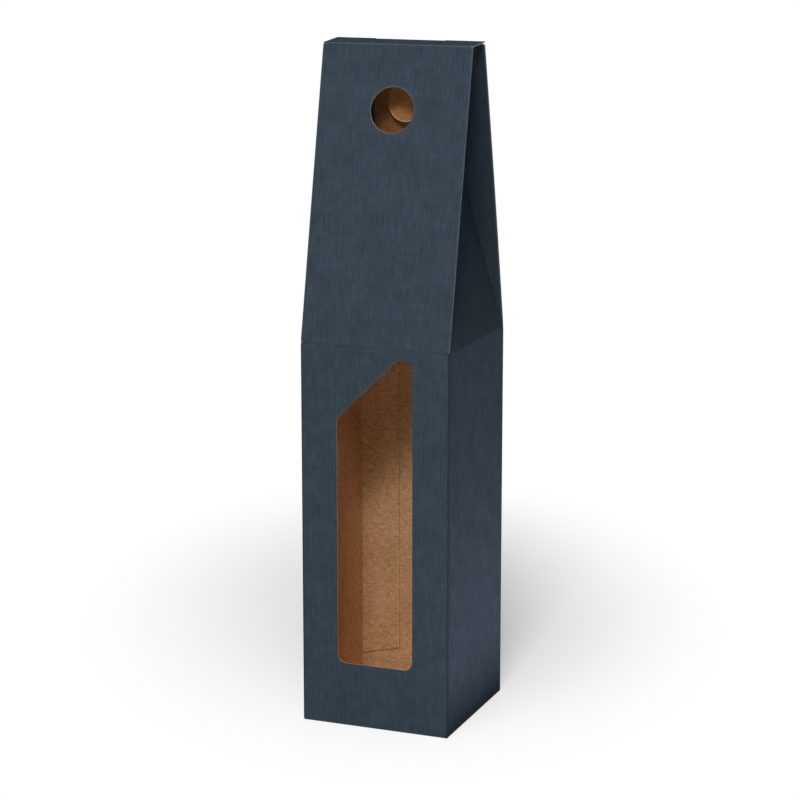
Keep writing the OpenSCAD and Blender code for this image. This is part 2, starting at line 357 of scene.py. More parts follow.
@dataclass(frozen=True)
class FoldedSheet:
    """Carries a flat sheet to its place and turns its two ends round arcs.

    Beyond turn_low or turn_high the sheet follows an arc of the given radius about an axis that runs
    along the sheet, that far inside its middle: the angle is the length past the turn over the
    radius. A turn that is None leaves that end flat.

    Attributes:
        place: The flat frame.
        radius: Radius of the arcs at the middle of the board.
        turn_low: Place across where the low end begins to turn.
        turn_high: Place across where the high end begins to turn.
        bow: Swelling of the flat part.
        bend: Bend beside the shoulder crease.
    """

    place: Place
    radius: float = 1.0
    turn_low: Optional[float] = None
    turn_high: Optional[float] = None
    bow: Bow = Bow()
    bend: SoftBend = SoftBend()

    def __call__(self, u: Array, v: Array, n: Array) -> Array:
        """Points for places on the flat sheet.

        Args:
            u: Places across.
            v: Places along.
            n: Places outwards.

        Returns:
            The points, in metres.
        """
        u, v, n = np.broadcast_arrays(np.asarray(u, float), np.asarray(v, float), np.asarray(n, float))
        n = n + self.bend.rise(v)
        flat_u, depth = u.copy(), n + self.bow.rise(u, v)
        for turn, sign in ((self.turn_low, -1.0), (self.turn_high, 1.0)):
            if turn is None:
                continue
            past = np.maximum(sign * (u - turn), 0.0)
            angle = past / self.radius
            reach = self.radius + n
            bent = past > 0
            flat_u = np.where(bent, turn + sign * reach * np.sin(angle), flat_u)
            depth = np.where(bent, self.bow.rise(u, v) - self.radius + reach * np.cos(angle), depth)
        return self.place.put(flat_u, v, depth) * METRE


def spread(low: float, high: float, count: int, near: Sequence[float] = ()) -> Array:
    """Places from low to high, evenly spaced, with extra ones close to both ends.

    Args:
        low: First place.
        high: Last place.
        count: Number of even places.
        near: Distances from both ends of the extra places.

    Returns:
        The places in rising order.
    """
    even = np.linspace(low, high, count)
    close = np.array([d for d in near if d < (high - low) / 2])
    even = even[(even - low > close.max(initial=0) * 1.2) & (high - even > close.max(initial=0) * 1.2)]
    return np.unique(np.concatenate([[low, high], low + close, high - close, even]))


def unit(steps: Array) -> Array:
    """Each row over its length."""
    return steps / np.maximum(np.linalg.norm(steps, axis=1), NO_LENGTH)[:, None]


def ramp(value: Array, start: float, width: float) -> Array:
    """Share that is zero up to start and one from a width further on."""
    return np.clip((value - start) / width, 0, 1)


def drawn_in(rows: Array, length: float, radius: float) -> Array:
    """How far a rounded corner draws a side in: the radius less the circle's height above its middle."""
    past = np.clip(rows - (length - radius), 0, radius * NEARLY_ROUND)
    return radius - np.sqrt(radius ** 2 - past ** 2)


def rounded_outline(points: Sequence[Sequence[float]], radii: Sequence[float], steps: int = 10) -> Array:
    """Outline of a convex polygon, anticlockwise, with an arc in each corner.

    Each arc is centred where both sides are one radius away, and turns from one side's
    perpendicular to the next one's.

    Args:
        points: The sharp corners.
        radii: One radius for each corner.
        steps: Points on each arc.

    Returns:
        The outline's points, one row each.
    """
    corners = np.asarray(points, float)
    before = unit(np.roll(corners, 1, axis=0) - corners)
    after = unit(np.roll(corners, -1, axis=0) - corners)
    radius = np.asarray(radii, float)[:, None]
    cosine = (before * after).sum(1, keepdims=True)
    run = radius * np.sqrt((1 + cosine) / (1 - cosine))
    inwards = np.stack([before[:, 1], -before[:, 0]], 1)
    centre = corners + run * before + radius * inwards
    start = corners + run * before - centre
    end = corners + run * after - centre
    first = np.arctan2(start[:, 1], start[:, 0])
    turn = np.mod(np.arctan2(end[:, 1], end[:, 0]) - first, FULL_TURN)
    angle = first[:, None] + turn[:, None] * np.linspace(0, 1, steps)[None, :]
    arc = centre[:, None, :] + radius[:, :, None] * np.stack([np.cos(angle), np.sin(angle)], 2)
    return arc.reshape(-1, 2)


@dataclass
class FlatSheet:
    """A flat sheet as a grid of places, with the way that it ends on each side.

    Attributes:
        u: Places across, rows along and columns across.
        v: Places along, on the same grid.
        ring: True where the columns close round a hole: the first row is then the outline and the
            last one the hole's edge.
        rims: How the low, right, high and left sides end, or the outline and the hole of a ring.
        ends: How a ring's outline ends at each column, where its sides differ.
    """

    u: Array
    v: Array
    ring: bool = False
    rims: Rims = ALL_CUT
    ends: Optional[Array] = None

    @staticmethod
    def across(v: Array, left: Array, right: Array, shares: Array, rims: Rims) -> "FlatSheet":
        """Sheet whose rows run straight from a left edge to a right edge.

        Args:
            v: Place of each row along the sheet.
            left: Left end of each row.
            right: Right end of each row.
            shares: Place of each column as a share of the row.
            rims: How the low, right, high and left sides end.

        Returns:
            The sheet.
        """
        u = left[:, None] + (right - left)[:, None] * shares[None, :]
        return FlatSheet(u, np.broadcast_to(v[:, None], u.shape).copy(), rims=rims)

    @staticmethod
    def upright(u: Array, low: Array, high: Array, shares: Array, rims: Rims) -> "FlatSheet":
        """Sheet whose columns run straight from a low edge to a high edge, given as those of across are."""
        v = low[None, :] + (high - low)[None, :] * shares[:, None]
        return FlatSheet(np.broadcast_to(u[None, :], v.shape).copy(), v, rims=rims)

    @staticmethod
    def around(box: tuple[float, float, float, float], insets: Sequence[float], centre: Sequence[float],
               hole: Array, rows: Sequence[float], sides: tuple[Rim, Rim, Rim, Rim],
               margin: Sequence[float] = (0.55, 0.28)) -> "FlatSheet":
        """Rectangular sheet round a hole, from rays that leave one centre.

        Each ray meets the hole's outline and the rectangle. Rows step in from the rectangle by the
        insets, then go towards the hole in the given shares of the way, and then follow its edge.

        Args:
            box: Left, low, right and high side of the rectangle.
            insets: Distances of the first rows from the rectangle.
            centre: Where the rays start, inside the hole.
            hole: The hole's outline, anticlockwise, as seen from the centre all round.
            rows: Shares of the way from the last inset to the hole.
            sides: How the low, right, high and left sides end.
            margin: Distances of the last rows from the hole's edge.

        Returns:
            The sheet.
        """
        left, low, right, high = box
        middle = np.asarray(centre, float)
        corners = np.array([[left, low], [right, low], [right, high], [left, high]])
        across, along = np.arange(left, right, RAY_SPACING), np.arange(low, high, RAY_SPACING)
        sides_of = [np.stack([across, np.full(len(across), e)], 1) for e in (low, high)]
        sides_of += [np.stack([np.full(len(along), e), along], 1) for e in (left, right)]
        out = np.concatenate([*sides_of, corners]) - middle
        hole_out = hole - middle
        hole_angle = np.mod(np.arctan2(hole_out[:, 1], hole_out[:, 0]), FULL_TURN)
        out_angle = np.mod(np.arctan2(out[:, 1], out[:, 0]), FULL_TURN)
        angle = np.unique(np.round(np.concatenate([hole_angle, out_angle]), 7))
        ray = np.stack([np.cos(angle), np.sin(angle)], 1)
        with np.errstate(divide="ignore"):
            hits = np.stack([(right - middle[0]) / ray[:, 0], (left - middle[0]) / ray[:, 0],
                             (high - middle[1]) / ray[:, 1], (low - middle[1]) / ray[:, 1]], 1)
        rim = middle + ray * np.where(hits > 0, hits, np.inf).min(1)[:, None]
        # A ray that meets the rectangle just beside a corner is left out, but the corner's own stays.
        to_corner = np.linalg.norm(rim[:, None, :] - corners[None, :, :], axis=2).min(1)
        at_corner, beside_corner = 0.02, max(insets) * 1.05
        kept = (to_corner < at_corner) | (to_corner > beside_corner)
        angle, ray, rim = angle[kept], ray[kept], rim[kept]
        # A ray meets the side of the hole's outline that starts at its own angle or last before it.
        order = np.argsort(hole_angle)
        first = (np.searchsorted(hole_angle[order], angle + 1e-6) - 1) % len(order)
        start = hole_out[order][first]
        step = hole_out[order][(first + 1) % len(order)] - start
        turned = ray[:, 0] * step[:, 1] - ray[:, 1] * step[:, 0]
        edge = middle + ray * ((start[:, 0] * step[:, 1] - start[:, 1] * step[:, 0]) / turned)[:, None]
        steps = [np.stack([np.clip(rim[:, 0], left + i, right - i), np.clip(rim[:, 1], low + i, high - i)], 1)
                 for i in insets]
        slant = np.abs(turned) / np.linalg.norm(step, axis=1)
        beside = [edge + ray * (m / np.maximum(slant, 0.1))[:, None] for m in margin]
        steps += [steps[-1] + (beside[0] - steps[-1]) * share for share in rows] + beside[1:] + [edge]
        grid = np.stack(steps)
        on_side = np.stack([np.abs(rim[:, 1] - low), np.abs(rim[:, 0] - right),
                            np.abs(rim[:, 1] - high), np.abs(rim[:, 0] - left)], 1).argmin(1)
        return FlatSheet(grid[:, :, 0], grid[:, :, 1], True, (Rim.CUT, Rim.CUT), np.array(sides)[on_side])

    def loops(self) -> list[tuple[Array, Array]]:
        """Walks round each edge, anticlockwise about the board.

        Returns:
            For each edge, its places in the grid and how the sheet ends at each.
        """
        rows, columns = self.u.shape
        index = np.arange(rows * columns).reshape(rows, columns)
        if self.ring:
            outer = self.ends if self.ends is not None else np.full(columns, self.rims[0])
            return [(index[0], outer), (index[-1][::-1], np.full(columns, self.rims[1]))]
        sides = [index[0, :-1], index[:-1, -1], index[-1, :0:-1], index[:0:-1, 0]]
        ends = [np.full(len(s), self.rims[k]) for k, s in enumerate(sides)]
        return [(np.concatenate(sides), np.concatenate(ends))]


@dataclass
class BoardMaker:
    """Makes a closed mesh of board from a flat sheet and the formula that shapes it.

    Attributes:
        half: Half the board's thickness.
        soft: Width of the small round along a cut edge.
    """

    half: float = 0.3
    soft: float = 0.05

    def rim_profile(self, ends: Array) -> tuple[Array, Array]:
        """How far out and how high each row of the rim lies.

        A crease is a half round: out is the half thickness times the angle's sine, height times its
        cosine. A cut edge is upright with its corners just taken off, and a joined one is upright.

        Args:
            ends: How the sheet ends at each place of the loop.

        Returns:
            The distances out and the heights, rows round the rim and columns along the loop.
        """
        turn = np.radians([30.0, 60.0, 90.0, 120.0, 150.0])
        rows = len(turn)
        out = np.stack([np.full(rows, self.soft), self.half * np.sin(turn), np.zeros(rows)], 1)
        up = np.stack([np.linspace(1, -1, rows) * (self.half - self.soft), self.half * np.cos(turn),
                       np.linspace(0.8, -0.8, rows) * self.half], 1)
        return out[:, ends], up[:, ends]

    def rim_points(self, sheet: FlatSheet, shape: Shape, loop: Array, ends: Array) -> tuple[Array, Array]:
        """The rim's rows: the loop moved out square to itself in the sheet.

        At a sharp corner each of the two sides is moved out by its own distance.

        Args:
            sheet: The flat sheet.
            shape: Gives points for places across, along and outwards.
            loop: The edge's places in the grid.
            ends: How the sheet ends at each.

        Returns:
            The rows' points and their flat places.
        """
        u, v = sheet.u.ravel()[loop], sheet.v.ravel()[loop]
        before = unit(np.stack([u - np.roll(u, 1), v - np.roll(v, 1)], 1))
        after = unit(np.stack([np.roll(u, -1) - u, np.roll(v, -1) - v], 1))
        both = unit(before + after)
        # At a slight corner the step is longer, so that both sides move out by the full distance.
        lengthen = 1 / np.clip((both * after).sum(1), 0.5, 1)
        out, up = self.rim_profile(ends)
        out_before, out_after = (self.rim_profile(np.roll(ends, way))[0] for way in (1, -1))
        sharp = (before * after).sum(1) < SHARP_CORNER
        moved = np.where(sharp[:, None], out_before[..., None] * before + out_after[..., None] * after,
                         out[..., None] * both * lengthen[:, None])
        ru, rv = u + moved[..., 1], v - moved[..., 0]
        return shape(ru, rv, up), np.stack([ru, rv], 2)

    def make(self, name: str, sheet: FlatSheet, shape: Shape,
             materials: Sequence[Material]) -> Piece:
        """Builds the piece.

        The outer face is the grid at plus half the thickness, the inner one the grid at minus half,
        and the rim joins their edges.

        Args:
            name: Name of the piece.
            sheet: The flat sheet.
            shape: Gives points for places across, along and outwards.
            materials: Finishes of the outer face, the inner face and the cut edge.

        Returns:
            The object, linked to the scene, with its place in its mesh.
        """
        rows, columns = sheet.u.shape
        count = rows * columns
        flat = np.stack([sheet.u, sheet.v], 2).reshape(-1, 2)
        heights = [np.full(sheet.u.shape, height) for height in (self.half, -self.half)]
        points = [shape(sheet.u, sheet.v, height).reshape(-1, 3) for height in heights]
        places = [flat, flat]
        index = np.arange(count).reshape(rows, columns)
        right = np.roll(index, -1, axis=1) if sheet.ring else index[:, 1:]
        left = index if sheet.ring else index[:, :-1]
        quads = np.stack([left[:-1], right[:-1], right[1:], left[1:]], 2).reshape(-1, 4)
        faces = [quads, quads[:, ::-1] + count]
        kinds = [np.full(len(quads), Side.OUTER), np.full(len(quads), Side.INNER)]
        start = 2 * count
        for loop, ends in sheet.loops():
            rim, rim_flat = self.rim_points(sheet, shape, loop, ends)
            layers = len(rim)
            rim_index = start + np.arange(layers * len(loop)).reshape(layers, len(loop))
            ring = np.concatenate([loop[None, :], rim_index, loop[None, :] + count])
            ahead = np.roll(ring, -1, axis=1)
            quads = np.stack([ring[:-1], ring[1:], ahead[1:], ahead[:-1]], 2)
            papered = ((ends != Rim.CUT) & (np.roll(ends, -1) != Rim.CUT))[None, :]
            upper = np.arange(layers + 1)[:, None] < layers
            kinds.append(np.where(papered, np.where(upper, Side.OUTER, Side.INNER), Side.EDGE).ravel())
            faces.append(quads.reshape(-1, 4))
            points.append(rim.reshape(-1, 3))
            places.append(rim_flat.reshape(-1, 2))
            start += layers * len(loop)
        return new_piece(name, np.concatenate(points), np.concatenate(faces), np.concatenate(kinds),
                         np.concatenate(places) * METRE, materials)


def linked(name: str, data: bpy.types.ID) -> Piece:
    """Makes an object and puts it in the scene.

    Args:
        name: Name of the object.
        data: Its mesh, lamp or camera.

    Returns:
        The object, at the origin.
    """
    thing = bpy.data.objects.new(name, data)
    bpy.context.scene.collection.objects.link(thing)
    return thing


def new_piece(name: str, points: Array, quads: Array, kinds: Array, places: Array,
              materials: Sequence[Material]) -> Piece:
    """Puts whole arrays into a new mesh object.

    Args:
        name: Name of the object.
        points: Points in metres.
        quads: Four point numbers for each face.
        kinds: Number of each face's material.
        places: Flat place of each point, in metres, which becomes the UV map.
        materials: The materials.

    Returns:
        The object, linked to the scene.
    """
    mesh = bpy.data.meshes.new(name)
    mesh.vertices.add(len(points))
    mesh.vertices.foreach_set("co", points.astype(np.float32).ravel())
    mesh.loops.add(quads.size)
    mesh.loops.foreach_set("vertex_index", quads.astype(np.int32).ravel())
    mesh.polygons.add(len(quads))
    mesh.polygons.foreach_set("loop_start", np.arange(0, quads.size, 4, dtype=np.int32))
    mesh.polygons.foreach_set("material_index", kinds.astype(np.int32))
    mesh.update(calc_edges=True)
    layer = mesh.uv_layers.new(name="board")
    layer.uv.foreach_set("vector", places[quads.ravel()].astype(np.float32).ravel())
    mesh.polygons.foreach_set("use_smooth", np.ones(len(quads), bool))
    mesh.set_sharp_from_angle(angle=SHARP_ANGLE)
    mesh.validate()
    for material in materials:
        mesh.materials.append(material)
    return linked(name, mesh)


class Graph:
    """Adds nodes to one material or world and joins them."""

    def __init__(self, tree: bpy.types.NodeTree) -> None:
        """Starts with an empty tree."""
        self.tree = tree
        tree.nodes.clear()

    def add(self, kind: str, inputs: Optional[dict] = None, **settings: object) -> bpy.types.Node:
        """Adds one node.

        Args:
            kind: Blender's name of the node type.
            inputs: Values or sockets for the node's inputs, by name or number.
            settings: Values for the node's own settings.

        Returns:
            The node.
        """
        node = self.tree.nodes.new(kind)
        for key, value in settings.items():
            setattr(node, key, value)
        for key, value in (inputs or {}).items():
            if isinstance(value, Socket):
                self.tree.links.new(value, node.inputs[key])
            else:
                node.inputs[key].default_value = value
        return node

    def maths(self, operation: str, first: object, second: object = 0.0) -> Socket:
        """Result of one sum on two values or sockets."""
        return self.add("ShaderNodeMath", {0: first, 1: second}, operation=operation).outputs[0]

    def weighted(self, *parts: tuple[Socket, float]) -> Socket:
        """Sum of sockets, each times its weight.

        Args:
            parts: Each socket with its weight.

        Returns:
            The sum.
        """
        total = self.maths("MULTIPLY", *parts[0])
        for part in parts[1:]:
            total = self.maths("ADD", total, self.maths("MULTIPLY", *part))
        return total

    def mix(self, share: object, low: object, high: object) -> Socket:
        """Colour between low and high by share."""
        return self.add("ShaderNodeMix", {0: share, 6: low, 7: high}, data_type="RGBA").outputs[2]

    def noise(self, vector: Socket, scale: float, detail: float,
              roughness: float) -> Socket:
        """Soft noise, about one half on average."""
        return self.add("ShaderNodeTexNoise", {"Vector": vector, "Scale": scale, "Detail": detail,
                                               "Roughness": roughness}).outputs[0]

    def stretched(self, vector: Socket, *scale: float) -> Socket:
        """The vector with each of its three parts multiplied."""
        return self.add("ShaderNodeMapping", {"Vector": vector, "Scale": scale}).outputs[0]

    def levels(self, value: Socket, low: float, high: float, start: float,
               end: float) -> Socket:
        """Value taken from low..high to start..end, and kept there."""
        return self.add("ShaderNodeMapRange", {0: value, 1: low, 2: high, 3: start, 4: end}).outputs[0]

    def sheet(self) -> Socket:
        """Places on the flat board."""
        return self.add("ShaderNodeUVMap", uv_map="board").outputs[0]

    def box(self) -> Socket:
        """Places in the box."""
        return self.add("ShaderNodeTexCoord").outputs["Object"]

    def wear_and_painted_light(self) -> Socket:
        """Share of marks: above zero for rubbing and painted highlight, below zero for pressing and painted
        shade.
        """
        return self.add("ShaderNodeAttribute", attribute_name="wear_and_painted_light").outputs["Fac"]

    def seen(self) -> Socket:
        """Finds the rays that show a surface.

        Returns:
            One for rays from the camera and for those seen in gloss or through glass.
        """
        path = self.add("ShaderNodeLightPath")
        total = self.maths("ADD", path.outputs["Is Camera Ray"], path.outputs["Is Glossy Ray"])
        return self.maths("MINIMUM", self.maths("ADD", total, path.outputs["Is Transmission Ray"]), 1.0)

    def paper(self, colour: Socket, height: Socket, strength: float, depth: float,
              roughness: object, specular: float) -> Socket:
        """Shader of a matt surface with a fine relief.

        Args:
            colour: Its colour.
            height: Its relief.
            strength: How much of the relief shows.
            depth: Depth of the relief, in metres.
            roughness: Its roughness, a number or a socket.
            specular: Level of its gloss.

        Returns:
            The shader.
        """
        bump = self.add("ShaderNodeBump", {"Height": height, "Strength": strength, "Distance": depth})
        return self.add("ShaderNodeBsdfPrincipled", {"Base Color": colour, "Roughness": roughness,
                                                     "Normal": bump.outputs[0],
                                                     "Specular IOR Level": specular}).outputs[0]


def linear(code: str) -> tuple[float, float, float, float]:
    """Scene colour of a screen colour: each part raised as the sRGB curve says.

    Args:
        code: Six hexadecimal digits.

    Returns:
        Red, green, blue and one.
    """
    parts = np.array([int(code[i:i + 2], 16) for i in (0, 2, 4)]) / 255
    value = np.where(parts <= 0.04045, parts / 12.92, ((parts + 0.055) / 1.055) ** 2.4)
    return (*map(float, value), 1.0)


@dataclass(frozen=True)
class Finish:
    """A finish, whose look its paint method gives.

    Attributes:
        name: Name of the material.
    """

    name: str

    def paint(self, g: Graph) -> Socket:
        """Shader of the finish, in the given tree."""
        raise NotImplementedError

    def build(self) -> Material:
        """Makes the material.

        Returns:
            The material.
        """
        material = bpy.data.materials.new(self.name)
        material.use_nodes = True
        g = Graph(material.node_tree)
        g.add("ShaderNodeOutputMaterial", {"Surface": self.paint(g)})
        return material


@dataclass(frozen=True)
class LinenPaper(Finish):
    """Navy paper with a fine linen emboss: upright ribs, fainter cross lines and soft cloudiness.

    Attributes:
        dark: Colour where the paper is cloudy.
        light: Colour where it is clear.
        highlight_and_wear: Colour of the light lines along folds, the ridge's crease and the holes' rims:
            painted highlight, with some rubbing.
        shade_and_pressing: Colour of painted shade in the gussets, wings and shoulder crease, and of pressing
            along the body's upright corners.
        rib_pitch: Distance between ribs, in metres.
        depth: Height of the emboss, in metres.
        roughness: Roughness of the surface.
        uneven: How far the roughness strays either way.
    """

    name: str = "navy_linen"
    dark: str = "37424c"
    light: str = "3d4853"
    # Colours of painted highlight and of painted shade, laid on by the share of marks.
    highlight_and_wear: str = "5c6872"
    shade_and_pressing: str = "222b34"
    rib_pitch: float = 0.00148
    depth: float = 0.00005
    roughness: float = 0.8
    uneven: float = 0.06

    def paint(self, g: Graph) -> Socket:
        """Ribs, threads and tooth are summed to one relief, which also shades the cloudy colour.

        Args:
            g: The material's tree.

        Returns:
            The shader.
        """
        sheet, body = g.sheet(), g.box()
        scale = FULL_TURN / (20 * self.rib_pitch)
        ribs = g.add("ShaderNodeTexWave", {"Vector": g.stretched(sheet, 1.0, 0.07, 1.0), "Scale": scale,
                                           "Distortion": 5.0, "Detail": 3.0, "Detail Scale": 1.6}).outputs[1]
        threads = g.noise(g.stretched(sheet, 1.0, 0.09, 1.0), 900.0, 3.0, 0.65)
        cross = g.noise(g.stretched(sheet, 0.12, 1.0, 1.0), 800.0, 3.0, 0.65)
        tooth = g.noise(sheet, 2600.0, 2.0, 0.7)
        cloud = g.noise(body, 70.0, 4.0, 0.6)
        patch = g.noise(body, 150.0, 3.0, 0.6)
        emboss = g.weighted((ribs, 0.22), (threads, 1.0), (cross, 0.5), (tooth, 0.3))
        clear = g.weighted((cloud, 0.62), (patch, 0.38))
        colour = g.mix(g.levels(clear, 0.36, 0.64, 0.0, 1.0), linear(self.dark), linear(self.light))
        shade = g.levels(emboss, 0.8, 1.25, 0.82, 1.18)
        colour = g.add("ShaderNodeVectorMath", {0: colour, 3: shade}, operation="SCALE").outputs[0]
        # Above zero the share lays on the light colour, broken up, as painted highlight along folds, the
        # ridge's crease and the holes' rims; below zero it lays on the dark colour, painted shade in the
        # gussets, wings and shoulder crease and pressing along the upright corners.
        wear_and_painted_light = g.wear_and_painted_light()
        patchy = g.levels(g.noise(body, 900.0, 3.0, 0.7), 0.35, 0.65, 0.35, 1.0)
        broken = g.maths("MULTIPLY", g.maths("MAXIMUM", wear_and_painted_light, 0.0), patchy)
        colour = g.mix(broken, colour, linear(self.highlight_and_wear))
        colour = g.mix(g.levels(wear_and_painted_light, -1.0, 0.0, 1.0, 0.0), colour, linear(self.shade_and_pressing))
        rough = g.levels(clear, 0.3, 0.7, self.roughness - self.uneven, self.roughness + self.uneven)
        return g.paper(colour, emboss, 0.55, self.depth, rough, 0.0)


@dataclass(frozen=True)
class KraftPaper(Finish):
    """Bare kraft: brown, with fine fibres both ways, small flecks and soft cloudiness.

    Attributes:
        dark: Colour of the darker fibres.
        light: Colour of the lighter fibres.
        fleck: Colour of the flecks.
        highlight_and_wear: Colour of the light marks: painted highlight along folds and round the finger
            flap's rim, and a lighter cut edge on the glue flap.
        depth: Height of the fibres, in metres.
        roughness: Roughness of the surface.
    """

    name: str = "kraft"
    dark: str = "bb8c5d"
    light: str = "edc092"
    fleck: str = "8f683f"
    highlight_and_wear: str = "f4d9b4"
    depth: float = 0.00005
    roughness: float = 0.88

    def paint(self, g: Graph) -> Socket:
        """Fibres, strands and cloud are summed to one grain, which gives both relief and colour.

        Args:
            g: The material's tree.

        Returns:
            The shader.
        """
        sheet, body = g.sheet(), g.box()
        fibres = g.noise(g.stretched(sheet, 1.0, 0.22, 1.0), 1500.0, 4.0, 0.65)
        strands = g.noise(g.stretched(sheet, 0.3, 1.0, 1.0), 900.0, 3.0, 0.6)
        cloud = g.noise(body, 45.0, 4.0, 0.6)
        specks = g.noise(body, 700.0, 2.0, 0.5)
        grain = g.weighted((fibres, 0.45), (strands, 0.38), (cloud, 0.17))
        colour = g.mix(g.levels(grain, 0.4, 0.6, 0.0, 1.0), linear(self.dark), linear(self.light))
        colour = g.mix(g.levels(specks, 0.64, 0.78, 0.0, 0.6), colour, linear(self.fleck))
        # Above zero the share lays on the light colour: painted highlight along folds and round the finger
        # flap's rim, a lighter cut edge on the glue flap.
        colour = g.mix(g.maths("MAXIMUM", g.wear_and_painted_light(), 0.0), colour, linear(self.highlight_and_wear))
        return g.paper(colour, grain, 0.4, self.depth, self.roughness, 0.2)


@dataclass(frozen=True)
class CutBoard(Finish):
    """The cut edge of the board: layered pulp, paler than its faces.

    Attributes:
        dark: Colour of the darker layers.
        light: Colour of the lighter layers.
        depth: Depth between the layers, in metres.
        roughness: Roughness of the surface.
    """

    name: str = "cut_edge"
    dark: str = "80705c"
    light: str = "b39d80"
    depth: float = 0.00004
    roughness: float = 0.9

    def paint(self, g: Graph) -> Socket:
        """Fine pulp, which gives both relief and colour.

        Args:
            g: The material's tree.

        Returns:
            The shader.
        """
        pulp = g.noise(g.box(), 2200.0, 3.0, 0.7)
        colour = g.mix(g.levels(pulp, 0.35, 0.65, 0.0, 1.0), linear(self.dark), linear(self.light))
        return g.paper(colour, pulp, 0.5, self.depth, self.roughness, 0.2)


@dataclass(frozen=True)
class DriedGlue(Finish):
    """Dried paper glue: pale, uneven and slightly shiny.

    Attributes:
        thin: Colour where it is thin.
        thick: Colour where it is thick.
        depth: Height of its streaks, in metres.
        roughness: Roughness of the surface.
    """

    name: str = "dried_glue"
    thin: str = "c9b896"
    thick: str = "e0d8bf"
    depth: float = 0.00005
    roughness: float = 0.4

    def paint(self, g: Graph) -> Socket:
        """Upright streaks, which give both relief and colour.

        Args:
            g: The material's tree.

        Returns:
            The shader.
        """
        streaks = g.noise(g.stretched(g.box(), 1.0, 1.0, 0.15), 500.0, 3.0, 0.6)
        colour = g.mix(streaks, linear(self.thin), linear(self.thick))
        return g.paper(colour, streaks, 0.5, self.depth, self.roughness, 0.5)


@dataclass
class Finishes:
    """All finishes of the box, each made once.

    Attributes:
        navy: The board's outer face.
        kraft: Its inner face.
        shaded_finger_kraft: The finger flap's inner face, a darker copy of the kraft that paints shade.
        shaded_tuck_kraft: The tuck flap's inner face, a still darker copy of the kraft that paints shade.
        cut: The board's cut edge.
        glue: The glue.
    """

    navy: Material = field(default_factory=LinenPaper().build)
    kraft: Material = field(default_factory=KraftPaper().build)
    # Darker copies of the kraft: painted shade inside the finger hole.
    shaded_finger_kraft: Material = field(
        default_factory=KraftPaper("shaded_kraft_of_finger_flap", "94653c", "bd8a58", "6e4b2a").build)
    shaded_tuck_kraft: Material = field(
        default_factory=KraftPaper("shaded_kraft_of_tuck_flap", "7a5130", "9c6e45", "5a3c21").build)
    cut: Material = field(default_factory=CutBoard().build)
    glue: Material = field(default_factory=DriedGlue().build)

    def of(self, node: str) -> tuple[Material, ...]:
        """Chooses a piece's finishes.

        Args:
            node: The CAD node that it stands for.

        Returns:
            Finishes of its outer face, its inner face and its cut edge.
        """
        if node.endswith("glue_line"):
            return (self.glue,) * 3
        # The tuck flap and the finger flap take the darker kraft, painted shade.
        inner = {"ridge_tuck_flap": self.shaded_tuck_kraft, "finger_flap": self.shaded_finger_kraft}.get(node, self.kraft)
        return (self.navy, inner, self.cut)


@dataclass
class SubAssembly:
    """A group of panels of the box.

    Attributes:
        sizes: The box's sizes.
        finishes: The box's finishes.
        cut_inset: How far the grid stops short of a cut edge, which the rim makes up.
    """

    sizes: BoxSizes
    finishes: Finishes
    cut_inset: float = BoardMaker.soft

    def add(self, node: str, body: str, sheet: FlatSheet, shape: Shape, slot: str = "navy_board",
            wear_and_painted_light: Optional[WearAndPaintedLightShare] = None, maker: BoardMaker = BoardMaker()) -> None:
        """Makes one panel that stands for a CAD node and rides on a body.

        Args:
            node: The CAD node.
            body: The CAD body.
            sheet: The flat sheet.
            shape: The formula that shapes it.
            slot: Not used; the record's material slot.
            wear_and_painted_light: Gives the share of marks from the flat places: above zero for rubbing and
                painted highlight, below zero for pressing and painted shade.
            maker: What makes its mesh.
        """
        piece = maker.make(node + "_board", sheet, shape, self.finishes.of(node))
        self.store_wear_and_painted_light(piece, wear_and_painted_light)
        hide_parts(node)
        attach(piece, body)
        LOG.info("%s rides on %s: %d faces", piece.name, body, len(piece.data.polygons))

    def glue_line(self, node: str, body: str, rows: Array, wave: Array, left: float, right: float,
                  shape: Shape) -> None:
        """Makes a film of glue between two layers of board, whose two edges waver alike.

        Args:
            node: The CAD node.
            body: The CAD body.
            rows: Places along the film.
            wave: How far its edges stray at each.
            left: Its left edge.
            right: Its right edge.
            shape: The formula that shapes it.
        """
        film = FlatSheet.across(rows, left + wave, right + wave, np.linspace(0, 1, 4), ALL_CUT)
        self.add(node, body, film, shape, "glue", maker=BoardMaker(self.sizes.glue / 2, 0.01))

    @staticmethod
    def store_wear_and_painted_light(piece: Piece, wear_and_painted_light: Optional[WearAndPaintedLightShare]) -> None:
        """Stores the share of marks (rubbing, pressing, painted highlight and painted shade) at each corner
        of each face.

        Args:
            piece: The piece.
            wear_and_painted_light: Gives the share from the flat places, or None where nothing is marked.
        """
        mesh = piece.data
        places = np.zeros(len(mesh.loops) * 2, np.float32)
        mesh.uv_layers[0].uv.foreach_get("vector", places)
        places = places.reshape(-1, 2) / METRE
        share = wear_and_painted_light(places[:, 0], places[:, 1]) if wear_and_painted_light else np.zeros(len(places))
        layer = mesh.attributes.new("wear_and_painted_light", "FLOAT", "CORNER")
        layer.data.foreach_set("value", np.clip(share, -1, 1).astype(np.float32))


